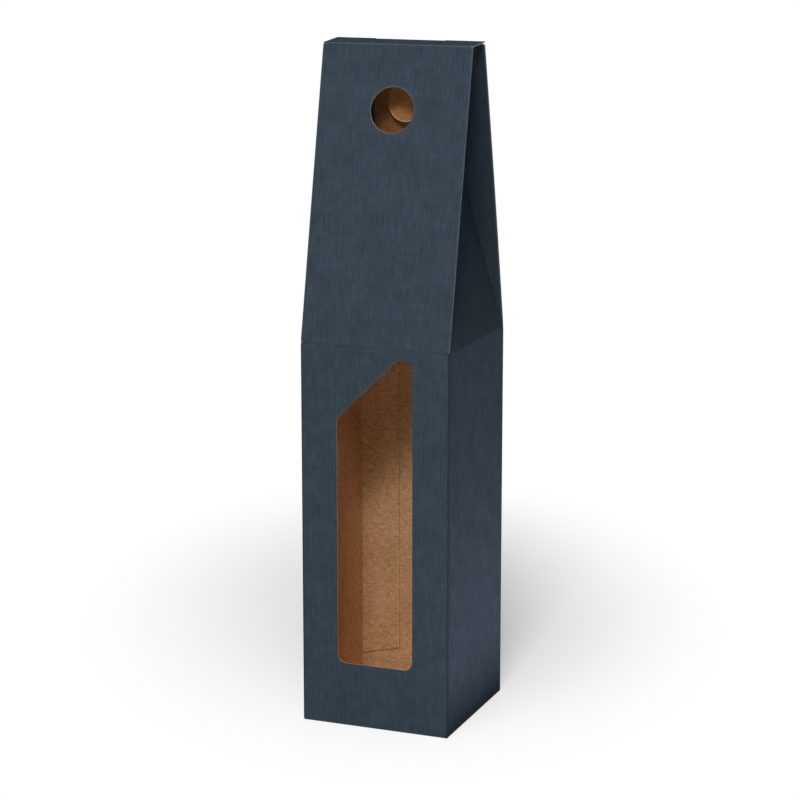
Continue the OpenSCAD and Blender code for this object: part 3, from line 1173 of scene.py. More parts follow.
@dataclass
class Sleeve(SubAssembly):
    """The square body: four walls, the glue flap and its glue.

    Attributes:
        window_width: Width of the window.
        window_low: Height of its lower edge.
        window_side: Length of its short upright edge.
        window_slant: Angle of its upper edge.
        window_radii: Radii of its corners, from the lower left one round.
        glue_flap_width: Width of the glue flap.
        glue_flap_chamfer: How much its slanted ends draw in.
        glue_margin: Distance from its sides to the glue.
        tongue_height: Height of the tongue that the flap keeps clear of.
        film_inset: How much further in the film's wavering sides keep.
        ray_centre: Where the rays of the front wall's grid start.
        front_bow: Swelling of the front wall, below zero where it is hollow.
        right_bow: The same of the right wall.
        left_bow: The same of the left wall.
        body: The CAD body.
    """

    window_width: float = 46.0
    window_low: float = 37.5
    window_side: float = 144.0
    window_slant: float = 45.0
    window_radii: tuple[float, ...] = (5.0, 5.0, 6.4, 3.0)
    glue_flap_width: float = 24.0
    glue_flap_chamfer: float = 6.0
    glue_margin: float = 3.0
    tongue_height: float = 10.0
    film_inset: float = 0.6
    ray_centre: tuple[float, float] = (4.0, 118.0)
    front_bow: float = -0.2
    right_bow: float = -0.3
    left_bow: float = -0.25
    body: str = "body"

    @property
    def turn(self) -> float:
        """Radius of a corner at the middle of the board."""
        return self.sizes.corner_radius - self.sizes.half

    @property
    def straight(self) -> float:
        """Distance from the middle of a wall to where its corner begins."""
        return self.sizes.width / 2 - self.sizes.corner_radius

    @property
    def arc(self) -> float:
        """Length of half a corner at the middle of the board."""
        return self.turn * math.pi / 4

    @property
    def reach(self) -> float:
        """Length of flat board from the middle of a wall to the middle of its corner."""
        return self.straight + self.arc

    @property
    def bend(self) -> SoftBend:
        """The walls' half of the bend at the shoulder."""
        return SoftBend(self.sizes.shoulder, -1.0, self.sizes.lean)

    def wall_place(self, across: Vector, distance: float) -> Place:
        """Frame of an upright wall whose board's middle is at the given distance from the box's axis."""
        outward = np.cross(across, UP)
        return Place(tuple(outward * distance), across, UP)

    def corner_shares(self, columns: int, low_turn: bool, high_turn: bool, low: float, high: float) -> Array:
        """Places columns across a wall, closer together in its corners.

        Args:
            columns: Number of even columns.
            low_turn: True where the low end turns.
            high_turn: True where the high end turns.
            low: Flat place of the low end.
            high: Flat place of the high end.

        Returns:
            The columns as shares of the wall's width.
        """
        places = spread(low, high, columns, (0.4, 1.2))
        arc = np.linspace(0, self.arc, 6)
        extra = [low + arc] if low_turn else []
        extra += [high - arc] if high_turn else []
        return (np.unique(np.round(np.concatenate([places, *extra]), 6)) - low) / (high - low)

    def front(self) -> None:
        """The front wall with its window, from rays that leave a point in the window."""
        s = self.sizes
        half_window = self.window_width / 2
        left_top = self.window_low + self.window_side
        right_top = left_top + self.window_width * math.tan(math.radians(self.window_slant))
        hole = rounded_outline([[-half_window, self.window_low], [half_window, self.window_low],
                                [half_window, right_top], [-half_window, left_top]], self.window_radii)
        insets = (*(self.arc * quarter / 4 for quarter in range(5)), *BESIDE_BEND[1:])
        sheet = FlatSheet.around((-self.reach, s.half, self.reach, s.shoulder), insets, self.ray_centre, hole,
                                 (0.2, 0.4, 0.6, 0.8, 1.0), (Rim.CREASE, Rim.JOINED, Rim.CREASE, Rim.JOINED))
        shape = FoldedSheet(self.wall_place((1, 0, 0), s.mid_y), self.turn, -self.straight, self.straight,
                            Bow(self.front_bow, s.width / 2, 0, s.shoulder), self.bend)
        self.add("front_panel", self.body, sheet, shape, wear_and_painted_light=self.wall_pressing_and_shade)

    def wall_pressing_and_shade(self, u: Array, v: Array) -> Array:
        """Darker marks on a wall: pressing along its upright corners, and painted shade along its shoulder
        crease.

        Args:
            u: Places across.
            v: Places along.

        Returns:
            The share of wear at each place.
        """
        corner = ramp(np.abs(u), self.straight - 0.25, 0.3) * WEAR_AND_PAINTED_LIGHT.corner
        # Painted shade along the shoulder crease.
        crease = ramp(v, self.sizes.shoulder - WEAR_AND_PAINTED_LIGHT.rim, WEAR_AND_PAINTED_LIGHT.rim) * WEAR_AND_PAINTED_LIGHT.crease
        return -np.maximum(corner, crease)

    def plain_wall(self, node: str, across: Vector, distance: float, low: float, high: float,
                   turn_low: Optional[float], turn_high: Optional[float], foot: float, foot_rim: Rim,
                   bow: float) -> None:
        """A wall without a window.

        Args:
            node: The CAD node.
            across: Direction across the wall.
            distance: Distance of its board's middle from the box's axis.
            low: Flat place of its low end.
            high: Flat place of its high end.
            turn_low: Where its low end turns, or None.
            turn_high: Where its high end turns, or None.
            foot: Height of its lower edge.
            foot_rim: How its lower edge ends.
            bow: Swelling at its middle.
        """
        s = self.sizes
        rows = spread(foot, s.shoulder, 30, BESIDE_BEND)
        shares = self.corner_shares(16, turn_low is not None, turn_high is not None, low, high)
        sheet = FlatSheet.across(rows, np.full(len(rows), low), np.full(len(rows), high), shares,
                                 (foot_rim, Rim.JOINED, Rim.CREASE, Rim.JOINED))
        shape = FoldedSheet(self.wall_place(across, distance), self.turn, turn_low, turn_high,
                            Bow(bow, s.width / 2, 0, s.shoulder), self.bend)
        self.add(node, self.body, sheet, shape, wear_and_painted_light=self.wall_pressing_and_shade)

    def walls(self) -> None:
        """The side walls and the back wall, whose left edge is cut because the seam is there."""
        s = self.sizes
        dust = s.board + s.crease_gap + s.half
        seam = s.flap_outer_y - s.corner_radius
        self.plain_wall("right_side_panel", (0, 1, 0), s.mid_x, -self.reach, self.reach,
                        -self.straight, self.straight, dust, Rim.CREASE, self.right_bow)
        self.plain_wall("left_side_panel", (0, -1, 0), s.mid_x, -seam - self.arc, self.reach,
                        -seam, self.straight, dust, Rim.CREASE, self.left_bow)
        self.plain_wall("back_panel", (-1, 0, 0), s.mid_y, -self.reach, s.width / 2 - self.cut_inset,
                        -self.straight, None, 0.0, Rim.CUT, 0.0)

    def seam(self) -> None:
        """The glue flap, which turns in from the left wall behind the back one, and its glue."""
        s = self.sizes
        free = s.width / 2 - s.board - self.glue_flap_width
        end = self.reach
        columns = free + (end - free) * self.corner_shares(10, False, True, free, end)
        foot = self.tongue_height + 6 * s.board
        head = s.shoulder - s.board
        drawn = (end - columns) / (end - free) * self.glue_flap_chamfer
        sheet = FlatSheet.upright(columns, foot + drawn, head - drawn, spread(0, 1, 24, (0.003,)),
                                  JOINED_RIGHT)
        place = self.wall_place((-1, 0, 0), s.flap_outer_y - s.half)
        shape = FoldedSheet(place, self.turn, None, self.straight)

        def wear_and_painted_light(u: Array, v: Array) -> Array:
            """Lighter along the cut edge, and more so towards the foot."""
            return (1 - ramp(u, free + 0.1, 0.4)) * np.clip((100 - v) / 20, 0.1, WEAR_AND_PAINTED_LIGHT.head)

        self.add("body_glue_flap", self.body, sheet, shape, "kraft_face", wear_and_painted_light)
        low, high = foot + self.glue_flap_chamfer, head - self.glue_flap_chamfer
        rows = np.linspace(low, high, 60)
        wave = 0.35 * np.sin(rows * 0.21) + 0.2 * np.sin(rows * 0.67)
        margin = self.glue_margin + self.film_inset
        self.glue_line("body_glue_line", self.body, rows, wave, free + margin, s.width / 2 - s.board - margin,
                       FoldedSheet(self.wall_place((-1, 0, 0), s.flap_outer_y + s.glue / 2)))

    def build(self) -> None:
        """Makes all of the body."""
        self.front()
        self.walls()
        self.seam()


@dataclass
class Base(SubAssembly):
    """The bottom: the panel hinged on the front wall, its tongue and the two dust flaps.

    Attributes:
        tongue_height: Height of the tongue.
        tongue_lean: How far it leans in from upright, in degrees.
        tongue_radius: Radius of its two free corners.
        tongue_end_gap: Air between its ends and the side walls.
        tongue_gap: Air between its crease and the back wall.
        side_gap: How far the bottom panel's sides stand in from the box's outer faces.
        dust_apart: Distance between the free ends of the two dust flaps.
        dust_taper: How much a dust flap's slanted sides draw in.
        dust_radius: Radius of its free corners.
        dust_front_gap: Air between it and the front wall.
        dust_back_gap: Air between it and the back wall.
        dust_straight: Length beside its crease where it doesn't draw in.
        dust_bow: Its swelling, below zero where it is hollow.
        dust_bow_half: Half the width that swells.
    """

    tongue_height: float = 10.0
    tongue_lean: float = 7.0
    tongue_radius: float = 3.0
    tongue_end_gap: float = 1.4
    tongue_gap: float = 0.4
    side_gap: float = 0.5
    dust_apart: float = 13.4
    dust_taper: float = 8.0
    dust_radius: float = 6.0
    dust_front_gap: float = 3.4
    dust_back_gap: float = 6.0
    dust_straight: float = 1.2
    dust_bow: float = -0.15
    dust_bow_half: float = 40.0

    @property
    def tongue_y(self) -> float:
        """Place of the tongue's crease, front to back."""
        return self.sizes.depth / 2 - self.sizes.board - self.tongue_gap - self.sizes.half

    def panel(self) -> None:
        """The bottom panel, a plain rectangle between two creases."""
        s = self.sizes
        half_width = s.width / 2 - self.side_gap - self.cut_inset
        rows = spread(0, self.tongue_y + s.mid_y, 14, (0.3, 1.0))
        sheet = FlatSheet.across(rows, np.full(len(rows), -half_width), np.full(len(rows), half_width),
                                 spread(0, 1, 12, (0.005, 0.015)), BETWEEN_CREASES)
        place = Place((0, -s.mid_y, s.half), (-1, 0, 0), (0, 1, 0))
        self.add("bottom_panel", "bottom", sheet, FoldedSheet(place))

    def tongue(self) -> None:
        """The tongue, which leans in from its crease inside the back wall, with two rounded corners."""
        s = self.sizes
        half_width = s.width / 2 - s.board - self.tongue_end_gap
        rounded = np.linspace(self.tongue_height - self.tongue_radius, self.tongue_height, 9)
        rows = np.unique(np.concatenate([[0, 0.3, 1.0, 3.0, 5.0], rounded]))
        width = half_width - drawn_in(rows, self.tongue_height, self.tongue_radius)
        sheet = FlatSheet.across(rows, -width, width, spread(0, 1, 14, (0.005,)), HINGED)
        turn = math.radians(90 + self.tongue_lean)
        place = Place((0, self.tongue_y, s.half), (-1, 0, 0), (0, math.cos(turn), math.sin(turn)))
        self.add("bottom_tongue", "tongue", sheet, FoldedSheet(place), "kraft_face")

    def dust_flap(self, side: float, name: str) -> None:
        """A dust flap, whose slanted sides draw in towards its rounded free end.

        Args:
            side: Plus one for the right flap and minus one for the left one.
            name: The node and body.
        """
        s = self.sizes
        length = s.mid_x - self.dust_apart / 2
        rounded = length - self.dust_radius * (1 - np.sin(np.linspace(0, math.pi / 2, 9)))
        straight = np.linspace(2, length - self.dust_radius, 7)
        rows = np.unique(np.concatenate([[0, 0.3, 0.9], straight, rounded]))
        slant = np.clip(rows - self.dust_straight, 0, None) / (length - self.dust_straight)
        drawn = slant * self.dust_taper + drawn_in(rows, length, self.dust_radius)
        front = s.depth / 2 - s.board - self.dust_front_gap - drawn
        back = s.depth / 2 - s.board - self.dust_back_gap - drawn
        left, right = (-back, front) if side > 0 else (-front, back)
        sheet = FlatSheet.across(rows, left, right, spread(0, 1, 10, (0.01,)), HINGED)
        place = Place((side * s.mid_x, 0, s.board + s.crease_gap + s.half), (0, -side, 0), (-side, 0, 0))
        shape = FoldedSheet(place, bow=Bow(self.dust_bow, self.dust_bow_half, 0, length))
        self.add(name, name, sheet, shape, "kraft_face")

    def build(self) -> None:
        """Makes all of the bottom."""
        self.panel()
        self.tongue()
        self.dust_flap(1.0, "right_dust_flap")
        self.dust_flap(-1.0, "left_dust_flap")


@dataclass
class Roof(SubAssembly):
    """The two slopes, the gussets between them, and the wings folded flat against the slopes.

    Attributes:
        grip_drop: Distance from the ridge's crease down to the middle of the round holes.
        grip_radius: Radius of the front slope's hole.
        rear_grip_radius: Radius of the back slope's hole.
        hole_steps: Number of places round a hole.
        gusset_clear: Air between a gusset's slanting side and its wing.
        rear_clear: What a gusset's rear side draws in besides, at its foot.
        rear_clear_height: Height over which that fades away.
        wing_head: Distance from a wing's head to the slope's.
        wing_foot: Distance from the shoulder to a wing's foot.
        upper_flap_width: Width of the upper glue flap.
        upper_flap_chamfer: How much its slanted ends draw in.
        glue_margin: Distance from its sides to the glue.
        film_inset: How much further in the film's wavering sides keep.
        front_bow: Swelling of the front slope.
        back_bow: Swelling of the back slope.
        bow_half: Half the width that swells.
        gusset_bow: Swelling of a gusset, below zero where it is hollow.
        gusset_bow_half: Half the width that swells there.
    """

    grip_drop: float = 36.5
    grip_radius: float = 13.0
    rear_grip_radius: float = 10.5
    hole_steps: int = 96
    gusset_clear: float = 0.45
    rear_clear: float = 0.9
    rear_clear_height: float = 22.0
    wing_head: float = 0.6
    wing_foot: float = 1.5
    upper_flap_width: float = 18.0
    upper_flap_chamfer: float = 6.0
    glue_margin: float = 3.0
    film_inset: float = 0.5
    front_bow: float = 0.3
    back_bow: float = 0.9
    bow_half: float = 46.0
    gusset_bow: float = -0.5
    gusset_bow_half: float = 44.0

    @property
    def front_place(self) -> Place:
        """Frame of the front slope."""
        s = self.sizes
        return Place((0, -s.mid_y, s.shoulder), (1, 0, 0), (0, math.sin(s.lean), math.cos(s.lean)))

    @property
    def back_place(self) -> Place:
        """Frame of the back slope."""
        s = self.sizes
        return Place((0, s.mid_y, s.shoulder), (-1, 0, 0), (0, -math.sin(s.lean), math.cos(s.lean)))

    @property
    def fold_reach(self) -> float:
        """Flat place across a slope where its side fold has turned right back."""
        return self.sizes.fold_x + self.sizes.fold_radius * math.pi

    def bow_of(self, back: bool, sign: float = 1.0) -> Bow:
        """Swelling of a slope and, with the sign minus one, of the wings that lie on it."""
        height, side = (self.back_bow, 0.75) if back else (self.front_bow, 0.3)
        return Bow(sign * height, self.bow_half, 0, self.sizes.slope_length, side)

    def slope(self, node: str, body: str, back: bool) -> None:
        """A slope with its round hole, turned back at its sides.

        Args:
            node: The CAD node.
            body: The CAD body.
            back: True for the back slope, whose left side is cut because the seam is there.
        """
        s = self.sizes
        high = s.back_length - self.cut_inset if back else s.slope_length
        box = (-self.fold_reach, 0.0, s.width / 2 - self.cut_inset if back else self.fold_reach, high)
        angle = np.linspace(0, FULL_TURN, self.hole_steps, endpoint=False)
        middle = (0.0, s.slope_length - self.grip_drop)
        radius = self.rear_grip_radius if back else self.grip_radius
        hole = np.stack([middle[0] + radius * np.cos(angle), middle[1] + radius * np.sin(angle)], 1)
        arc = s.fold_radius * math.pi
        insets = [arc * ninth / 9 for ninth in range(10)] + [1.7, 2.1, 2.7]
        sheet = FlatSheet.around(box, insets, middle, hole, (0.25, 0.5, 0.75, 0.92, 1.0),
                                 (Rim.CREASE, Rim.CUT, Rim.CUT if back else Rim.CREASE, Rim.CUT))
        shape = FoldedSheet(self.back_place if back else self.front_place, s.fold_radius, -s.fold_x,
                            None if back else s.fold_x, self.bow_of(back), SoftBend(angle=s.lean))

        def wear_and_painted_light(u: Array, v: Array) -> Array:
            """Painted highlight along the side folds, the head and the hole's rim, and painted shade at the
            foot.
            """
            return self.fold_highlight_and_shade(u, v) + self.rim_highlight(u, v, radius)

        self.add(node, body, sheet, shape, wear_and_painted_light=wear_and_painted_light)

    def rim_highlight(self, u: Array, v: Array, radius: float) -> Array:
        """Painted highlight along the rim of a slope's hole of the given radius."""
        out = np.hypot(u, v - self.sizes.slope_length + self.grip_drop) - radius
        return 1 - ramp(np.abs(out), 0, WEAR_AND_PAINTED_LIGHT.rim)

    def fold_highlight_and_shade(self, u: Array, v: Array) -> Array:
        """Painted highlight along a slope's side folds and its head, and painted shade at its foot.

        Args:
            u: Places across.
            v: Places along.

        Returns:
            The share of wear at each place.
        """
        s = self.sizes
        side = ramp(np.abs(u), s.fold_x + 0.05, 0.3) * (1 - ramp(np.abs(u), s.fold_x + 0.9, 0.3))
        # Painted shade at the foot, beside the shoulder crease.
        foot = (1 - ramp(v, 0, WEAR_AND_PAINTED_LIGHT.rim)) * WEAR_AND_PAINTED_LIGHT.crease
        head = ramp(v, s.slope_length - 0.35, 0.3) * WEAR_AND_PAINTED_LIGHT.head
        return np.maximum(side, head) - foot

    def gusset(self, node: str, body: str, side: float) -> None:
        """A gusset: a panel that narrows upwards from the shoulder, between its two wings.

        Args:
            node: The CAD node.
            body: The CAD body.
            side: Plus one for the right gusset and minus one for the left one.
        """
        s = self.sizes
        rows = spread(0, s.gusset_length, 24, BESIDE_BEND)
        inner = s.mid_y - s.gusset_foot - self.gusset_clear - rows * math.sin(s.lean)
        rear = inner - (1 - ramp(rows, 0, self.rear_clear_height)) ** 1.5 * self.rear_clear
        rear -= (s.board + s.glue) / math.cos(s.lean) if side < 0 else 0.0
        left, right = (-inner, rear) if side > 0 else (-rear, inner)
        sheet = FlatSheet.across(rows, left, right, spread(0, 1, 12, (0.005, 0.02)), HINGED)
        place = Place((side * s.mid_x, 0, s.shoulder), (0, side, 0),
                      (-side * math.sin(s.lean), 0, math.cos(s.lean)))

        def wear_and_painted_light(u: Array, v: Array) -> Array:
            """Painted shade: darker towards the head and darkest beside the slanting creases."""
            to_crease = s.mid_y - s.gusset_foot - self.gusset_clear - v * math.sin(s.lean) - np.abs(u)
            return -np.maximum(WEAR_AND_PAINTED_LIGHT.gusset + WEAR_AND_PAINTED_LIGHT.gusset_head * ramp(v, 0, 60),
                               np.clip(WEAR_AND_PAINTED_LIGHT.beside_crease - to_crease / 1.2, 0, 1))

        bow = Bow(self.gusset_bow, self.gusset_bow_half, 0, s.gusset_length)
        shape = FoldedSheet(place, bow=bow, bend=SoftBend(angle=s.lean))
        self.add(node, body, sheet, shape, wear_and_painted_light=wear_and_painted_light)

    def wing(self, name: str, back: bool, side: float) -> None:
        """A wing folded flat inside its slope: a triangle beside the gusset that runs on up to the ridge.

        The left rear wing lies deeper, because it is folded over the upper glue flap.

        Args:
            name: The CAD node and body.
            back: True on the back slope.
            side: Plus one on the right and minus one on the left.
        """
        s = self.sizes
        depth = 2 * s.fold_radius + ((s.board + s.glue) if back and side < 0 else 0.0)
        head = (s.back_length if back else s.slope_length) - self.wing_head
        slant_foot = s.fold_x - (s.gusset_foot - s.fold_radius)
        rows = np.unique(np.concatenate([spread(self.wing_foot, s.gusset_length, 18),
                                         spread(s.gusset_length, head, 10)]))
        inner = np.maximum(slant_foot - rows * math.sin(s.lean), s.wing_free)
        outer = np.full(len(rows), s.fold_x)
        place = (self.back_place if back else self.front_place).sunk(depth).turned_over()
        sign = side * place.across[0]
        left, right = (inner, outer) if sign > 0 else (-outer, -inner)
        sheet = FlatSheet.across(rows, left, right, spread(0, 1, 8),
                                 JOINED_RIGHT if sign > 0 else JOINED_LEFT)

        def wear_and_painted_light(u: Array, v: Array) -> Array:
            """Painted shade: darkest beside the slanting crease."""
            past_crease = np.abs(u) - np.maximum(slant_foot - v * math.sin(s.lean), s.wing_free)
            return -np.maximum(WEAR_AND_PAINTED_LIGHT.wing, np.clip(WEAR_AND_PAINTED_LIGHT.beside_crease - past_crease, 0, 1))

        self.add(name, name, sheet, FoldedSheet(place, bow=self.bow_of(back, -1.0)), wear_and_painted_light=wear_and_painted_light)

    def seam(self) -> None:
        """The upper glue flap inside the back slope, turned back at its fold, and its glue."""
        s = self.sizes
        foot, head = self.wing_foot + self.upper_flap_chamfer, s.back_length - self.wing_head
        free = s.fold_x - self.upper_flap_width
        arc = s.fold_radius * math.pi
        columns = np.unique(np.concatenate([np.linspace(free, s.fold_x, 8),
                                            s.fold_x + np.linspace(0, arc, 10)]))
        drawn = np.clip((s.fold_x - columns) / self.upper_flap_width, 0, 1) * self.upper_flap_chamfer
        sheet = FlatSheet.upright(columns, foot + drawn, head - drawn, spread(0, 1, 20, (0.003,)),
                                  JOINED_RIGHT)
        place = self.back_place.sunk(s.board + s.glue)
        shape = FoldedSheet(place, s.fold_radius, None, s.fold_x, self.bow_of(True))
        self.add("upper_glue_flap", "back_slope", sheet, shape, "kraft_face", self.fold_highlight_and_shade)
        rows = np.linspace(foot + self.upper_flap_chamfer + 2, head - self.upper_flap_chamfer - 1, 50)
        wave = 0.3 * np.sin(rows * 0.31)
        margin = self.glue_margin + self.film_inset
        self.glue_line("upper_glue_line", "back_slope", rows, wave, free + margin, s.fold_x - margin,
                       FoldedSheet(self.back_place.sunk(s.half + s.glue / 2), bow=self.bow_of(True)))

    def build(self) -> None:
        """Makes all of the roof."""
        for back, body in ((False, "front_slope"), (True, "back_slope")):
            self.slope(body + "_panel", body, back)
        for side, body in ((1.0, "right_gusset"), (-1.0, "left_gusset")):
            self.gusset(body + "_panel", body, side)
        for back, side, name in ((False, 1.0, "right_front_wing"), (False, -1.0, "left_front_wing"),
                                 (True, 1.0, "right_rear_wing"), (True, -1.0, "left_rear_wing")):
            self.wing(name, back, side)
        self.seam()


@dataclass
class Ridge(SubAssembly):
    """The ridge strip, the tuck flap that hangs from it and the finger flap in the tuck flap.

    Attributes:
        inset: How far the ridge's ends stand in from the box's sides.
        tuck_length: Length of the tuck flap.
        tuck_radius: Radius of its two free corners.
        hole_radius: Radius of its round hole.
        finger_radius: Radius of the finger flap.
        finger_crease: Length of the finger flap's crease.
        finger_tilt: How far the finger flap stands forward of the tuck flap, in degrees.
        strip_bow: Swelling of the ridge.
        tuck_bow: Swelling of the tuck flap, below zero where it is hollow.
        tuck_bow_half: Half the width that swells.
        finger_bow: Swelling of the finger flap.
    """

    inset: float = 0.3
    tuck_length: float = 58.0
    tuck_radius: float = 8.0
    hole_radius: float = 12.4
    finger_radius: float = 11.0
    finger_crease: float = 11.0
    finger_tilt: float = 16.0
    strip_bow: float = 0.12
    tuck_bow: float = -0.25
    tuck_bow_half: float = 40.0
    finger_bow: Bow = Bow(-0.4, 14, 0, 25)

    @property
    def chord(self) -> float:
        """Distance from the middle of the finger flap's round to its straight side."""
        return math.sqrt(self.finger_radius ** 2 - self.finger_crease ** 2 / 4)

    @property
    def finger_axis(self) -> float:
        """Distance from the finger flap's crease to the middle of its round."""
        return self.chord + self.sizes.half + self.sizes.crease_gap

    def strip(self) -> None:
        """The ridge: its ends reach further back than its middle, where the tuck flap is creased."""
        s = self.sizes
        half_width = s.width / 2 - self.inset - self.cut_inset
        notch = s.tuck_width / 2 + s.crease_gap
        rise = math.radians(s.ridge_rise)
        end_run = (s.ridge_depth / 2 + s.ridge_y) / math.cos(rise)
        side = np.concatenate([[notch + 0.02], np.linspace(notch + 1, half_width - 1, 6), [half_width]])
        columns = np.concatenate([-side[::-1], np.linspace(-notch, notch, 14), side])
        high = np.where(np.abs(columns) <= notch, s.ridge_run, end_run)
        sheet = FlatSheet.upright(columns, np.zeros(len(columns)), high, spread(0, 1, 8, (0.015, 0.05)),
                                  BETWEEN_CREASES)
        place = Place((0, -s.ridge_y, s.ridge_z), (1, 0, 0), (0, math.cos(rise), math.sin(rise)))
        shape = FoldedSheet(place, bow=Bow(self.strip_bow, s.width / 2, 0, s.ridge_run))
        self.add("ridge_strip", "ridge", sheet, shape, wear_and_painted_light=self.crease_highlight)

    def crease_highlight(self, u: Array, v: Array) -> Array:
        """Painted highlight along the ridge's front crease."""
        return (1 - ramp(v, 0.1, 0.3)) * WEAR_AND_PAINTED_LIGHT.head

    def tuck_flap(self) -> None:
        """The tuck flap with its round hole, cut off by a short straight edge at the finger flap's crease."""
        s = self.sizes
        middle = (0.0, s.finger_drop + self.finger_axis)
        half_crease = self.finger_crease / 2
        turn = math.atan2(half_crease, self.finger_axis)
        angle = np.linspace(-math.pi / 2 + turn, 3 * math.pi / 2 - turn, 90)
        arc = np.stack([self.hole_radius * np.cos(angle), middle[1] + self.hole_radius * np.sin(angle)], 1)
        # The straight edge stops just short of the arc's ends, so that no two places fall together.
        straight = np.linspace(-half_crease, half_crease, 9) * 0.999
        hole = np.concatenate([arc, np.stack([straight, np.full_like(straight, s.finger_drop)], 1)])
        half_width, length = s.tuck_width / 2 - self.cut_inset, self.tuck_length - self.cut_inset
        sheet = FlatSheet.around((-half_width, 0.0, half_width, length), (0, 0.15, 0.4, 1.2), middle,
                                 hole, (0.3, 0.6, 0.85, 1.0), HINGED)
        self.round_low_corners(sheet, half_width, length)
        place = Place((0, s.tuck_y, s.tuck_z), (1, 0, 0), (0, 0, -1))
        shape = FoldedSheet(place, bow=Bow(self.tuck_bow, self.tuck_bow_half, 0, self.tuck_length))
        self.add("ridge_tuck_flap", "tuck_flap", sheet, shape, "kraft_face")

    def round_low_corners(self, sheet: FlatSheet, half_width: float, length: float) -> None:
        """Rounds the far corners: a place past a corner's centre is pulled from its square onto its arc.

        Args:
            sheet: The flat sheet, which is changed.
            half_width: Half its width.
            length: Its length.
        """
        centre_u, centre_v = half_width - self.tuck_radius, length - self.tuck_radius
        du, dv = np.abs(sheet.u) - centre_u, sheet.v - centre_v
        past = (du > 0) & (dv > 0)
        square, round_ = np.maximum(du, dv), np.hypot(du, dv)
        scale = np.where(past, square / np.maximum(round_, NO_LENGTH), 1.0)
        sheet.u[...] = np.where(past, np.sign(sheet.u) * (centre_u + du * scale), sheet.u)
        sheet.v[...] = np.where(past, centre_v + dv * scale, sheet.v)

    def finger_flap(self) -> None:
        """The finger flap: a round, cut off at its crease. A row is as wide as the circle at its place."""
        s = self.sizes
        # The last row stops just short of the far end, where the circle has no width.
        turn = np.linspace(math.acos(self.chord / self.finger_radius), math.pi - 0.06, 26)
        rows = self.finger_axis - self.finger_radius * np.cos(turn)
        width = self.finger_radius * np.sin(turn)
        rows, width = np.concatenate([[0.0, 0.3], rows]), np.concatenate([[width[0]] * 2, width])
        sheet = FlatSheet.across(rows, -width, width, spread(0, 1, 12, (0.02,)), HINGED)
        tilt = math.radians(self.finger_tilt)
        place = Place((0, s.tuck_y, s.tuck_z - s.finger_drop), (1, 0, 0),
                      (0, -math.sin(tilt), -math.cos(tilt)))
        shape = FoldedSheet(place, bow=self.finger_bow)
        self.add("finger_flap", "finger_flap", sheet, shape, "kraft_face", self.round_highlight)

    def round_highlight(self, u: Array, v: Array) -> Array:
        """Painted highlight on the finger flap: along its round edge, and more towards its free end."""
        edge = ramp(np.hypot(u, v - self.finger_axis), self.finger_radius - WEAR_AND_PAINTED_LIGHT.rim, WEAR_AND_PAINTED_LIGHT.rim)
        return edge * np.clip(v / 10 - 1, 0, WEAR_AND_PAINTED_LIGHT.head)

    def build(self) -> None:
        """Makes all of the ridge."""
        self.strip()
        self.tuck_flap()
        self.finger_flap()


@dataclass(frozen=True)
class Lamp:
    """A square soft lamp.

    Attributes:
        name: Name of the lamp.
        place: Where it stands, in metres.
        aim: The point that it faces.
        size: Its width and height.
        power: Its power in watts.
        colour: Its colour.
    """

    name: str
    place: Vector
    aim: Vector
    size: float
    power: float
    colour: Vector = (1.0, 1.0, 1.0)

    def build(self) -> None:
        """Puts the lamp in the scene."""
        data = bpy.data.lights.new(self.name, "AREA")
        data.shape, data.size, data.energy, data.color = "SQUARE", self.size, self.power, self.colour
        lamp = linked(self.name, data)
        lamp.location = self.place
        lamp.visible_camera = False
        away = lamp.location - type(lamp.location)(self.aim)
        lamp.rotation_euler = away.to_track_quat("Z", "Y").to_euler()


@dataclass(frozen=True)
class FloorWithPaintedShadow(Finish):
    """Floor paint with a painted shadow: a grey patch round the box, which also keeps the box's own shadow,
    and white further off.

    Attributes:
        grey: Lightness of the paint.
        glow: What it shows on top of the light that falls on it.
        place: Middle of the patch of painted shadow, across and away.
        size: Its half width and half length.
        turn: Its turn to the left, in degrees.
        near: Share of the patch's size where it begins to fade to white.
        far: Share where it is all white.
    """

    name: str = "floor_with_painted_shadow"
    grey: float = 0.86
    glow: float = 0.18
    place: tuple[float, float] = (-0.075, 0.187)
    size: tuple[float, float] = (0.21, 0.33)
    turn: float = 21.768
    near: float = 0.15
    far: float = 1.1

    def paint(self, g: Graph) -> Socket:
        """Lit grey paint, a painted shadow, that fades to plain white by the distance from the patch's middle
        over its size.

        Args:
            g: The material's tree.

        Returns:
            The shader.
        """
        seen = g.seen()
        patch = g.add("ShaderNodeMapping", {"Vector": g.box(), "Location": (*self.place, 0.0),
                                            "Rotation": (0.0, 0.0, math.radians(self.turn)),
                                            "Scale": (*self.size, 1.0)}, vector_type="TEXTURE")
        distance = g.add("ShaderNodeVectorMath", {0: patch.outputs[0]}, operation="LENGTH").outputs[1]
        fade = g.add("ShaderNodeMapRange", {0: distance, 1: self.near, 2: self.far},
                     interpolation_type="SMOOTHSTEP")
        paint = g.add("ShaderNodeBsdfDiffuse", {"Color": (self.grey, self.grey, self.grey, 1.0)})
        glow = g.add("ShaderNodeEmission", {"Color": WHITE, "Strength": g.maths("MULTIPLY", seen, self.glow)})
        white = g.add("ShaderNodeEmission", {"Color": WHITE, "Strength": 1.0})
        lit = g.add("ShaderNodeAddShader", {0: paint.outputs[0], 1: glow.outputs[0]})
        share = g.maths("MULTIPLY", seen, fade.outputs[0])
        return g.add("ShaderNodeMixShader", {0: share, 1: lit.outputs[0], 2: white.outputs[0]}).outputs[0]


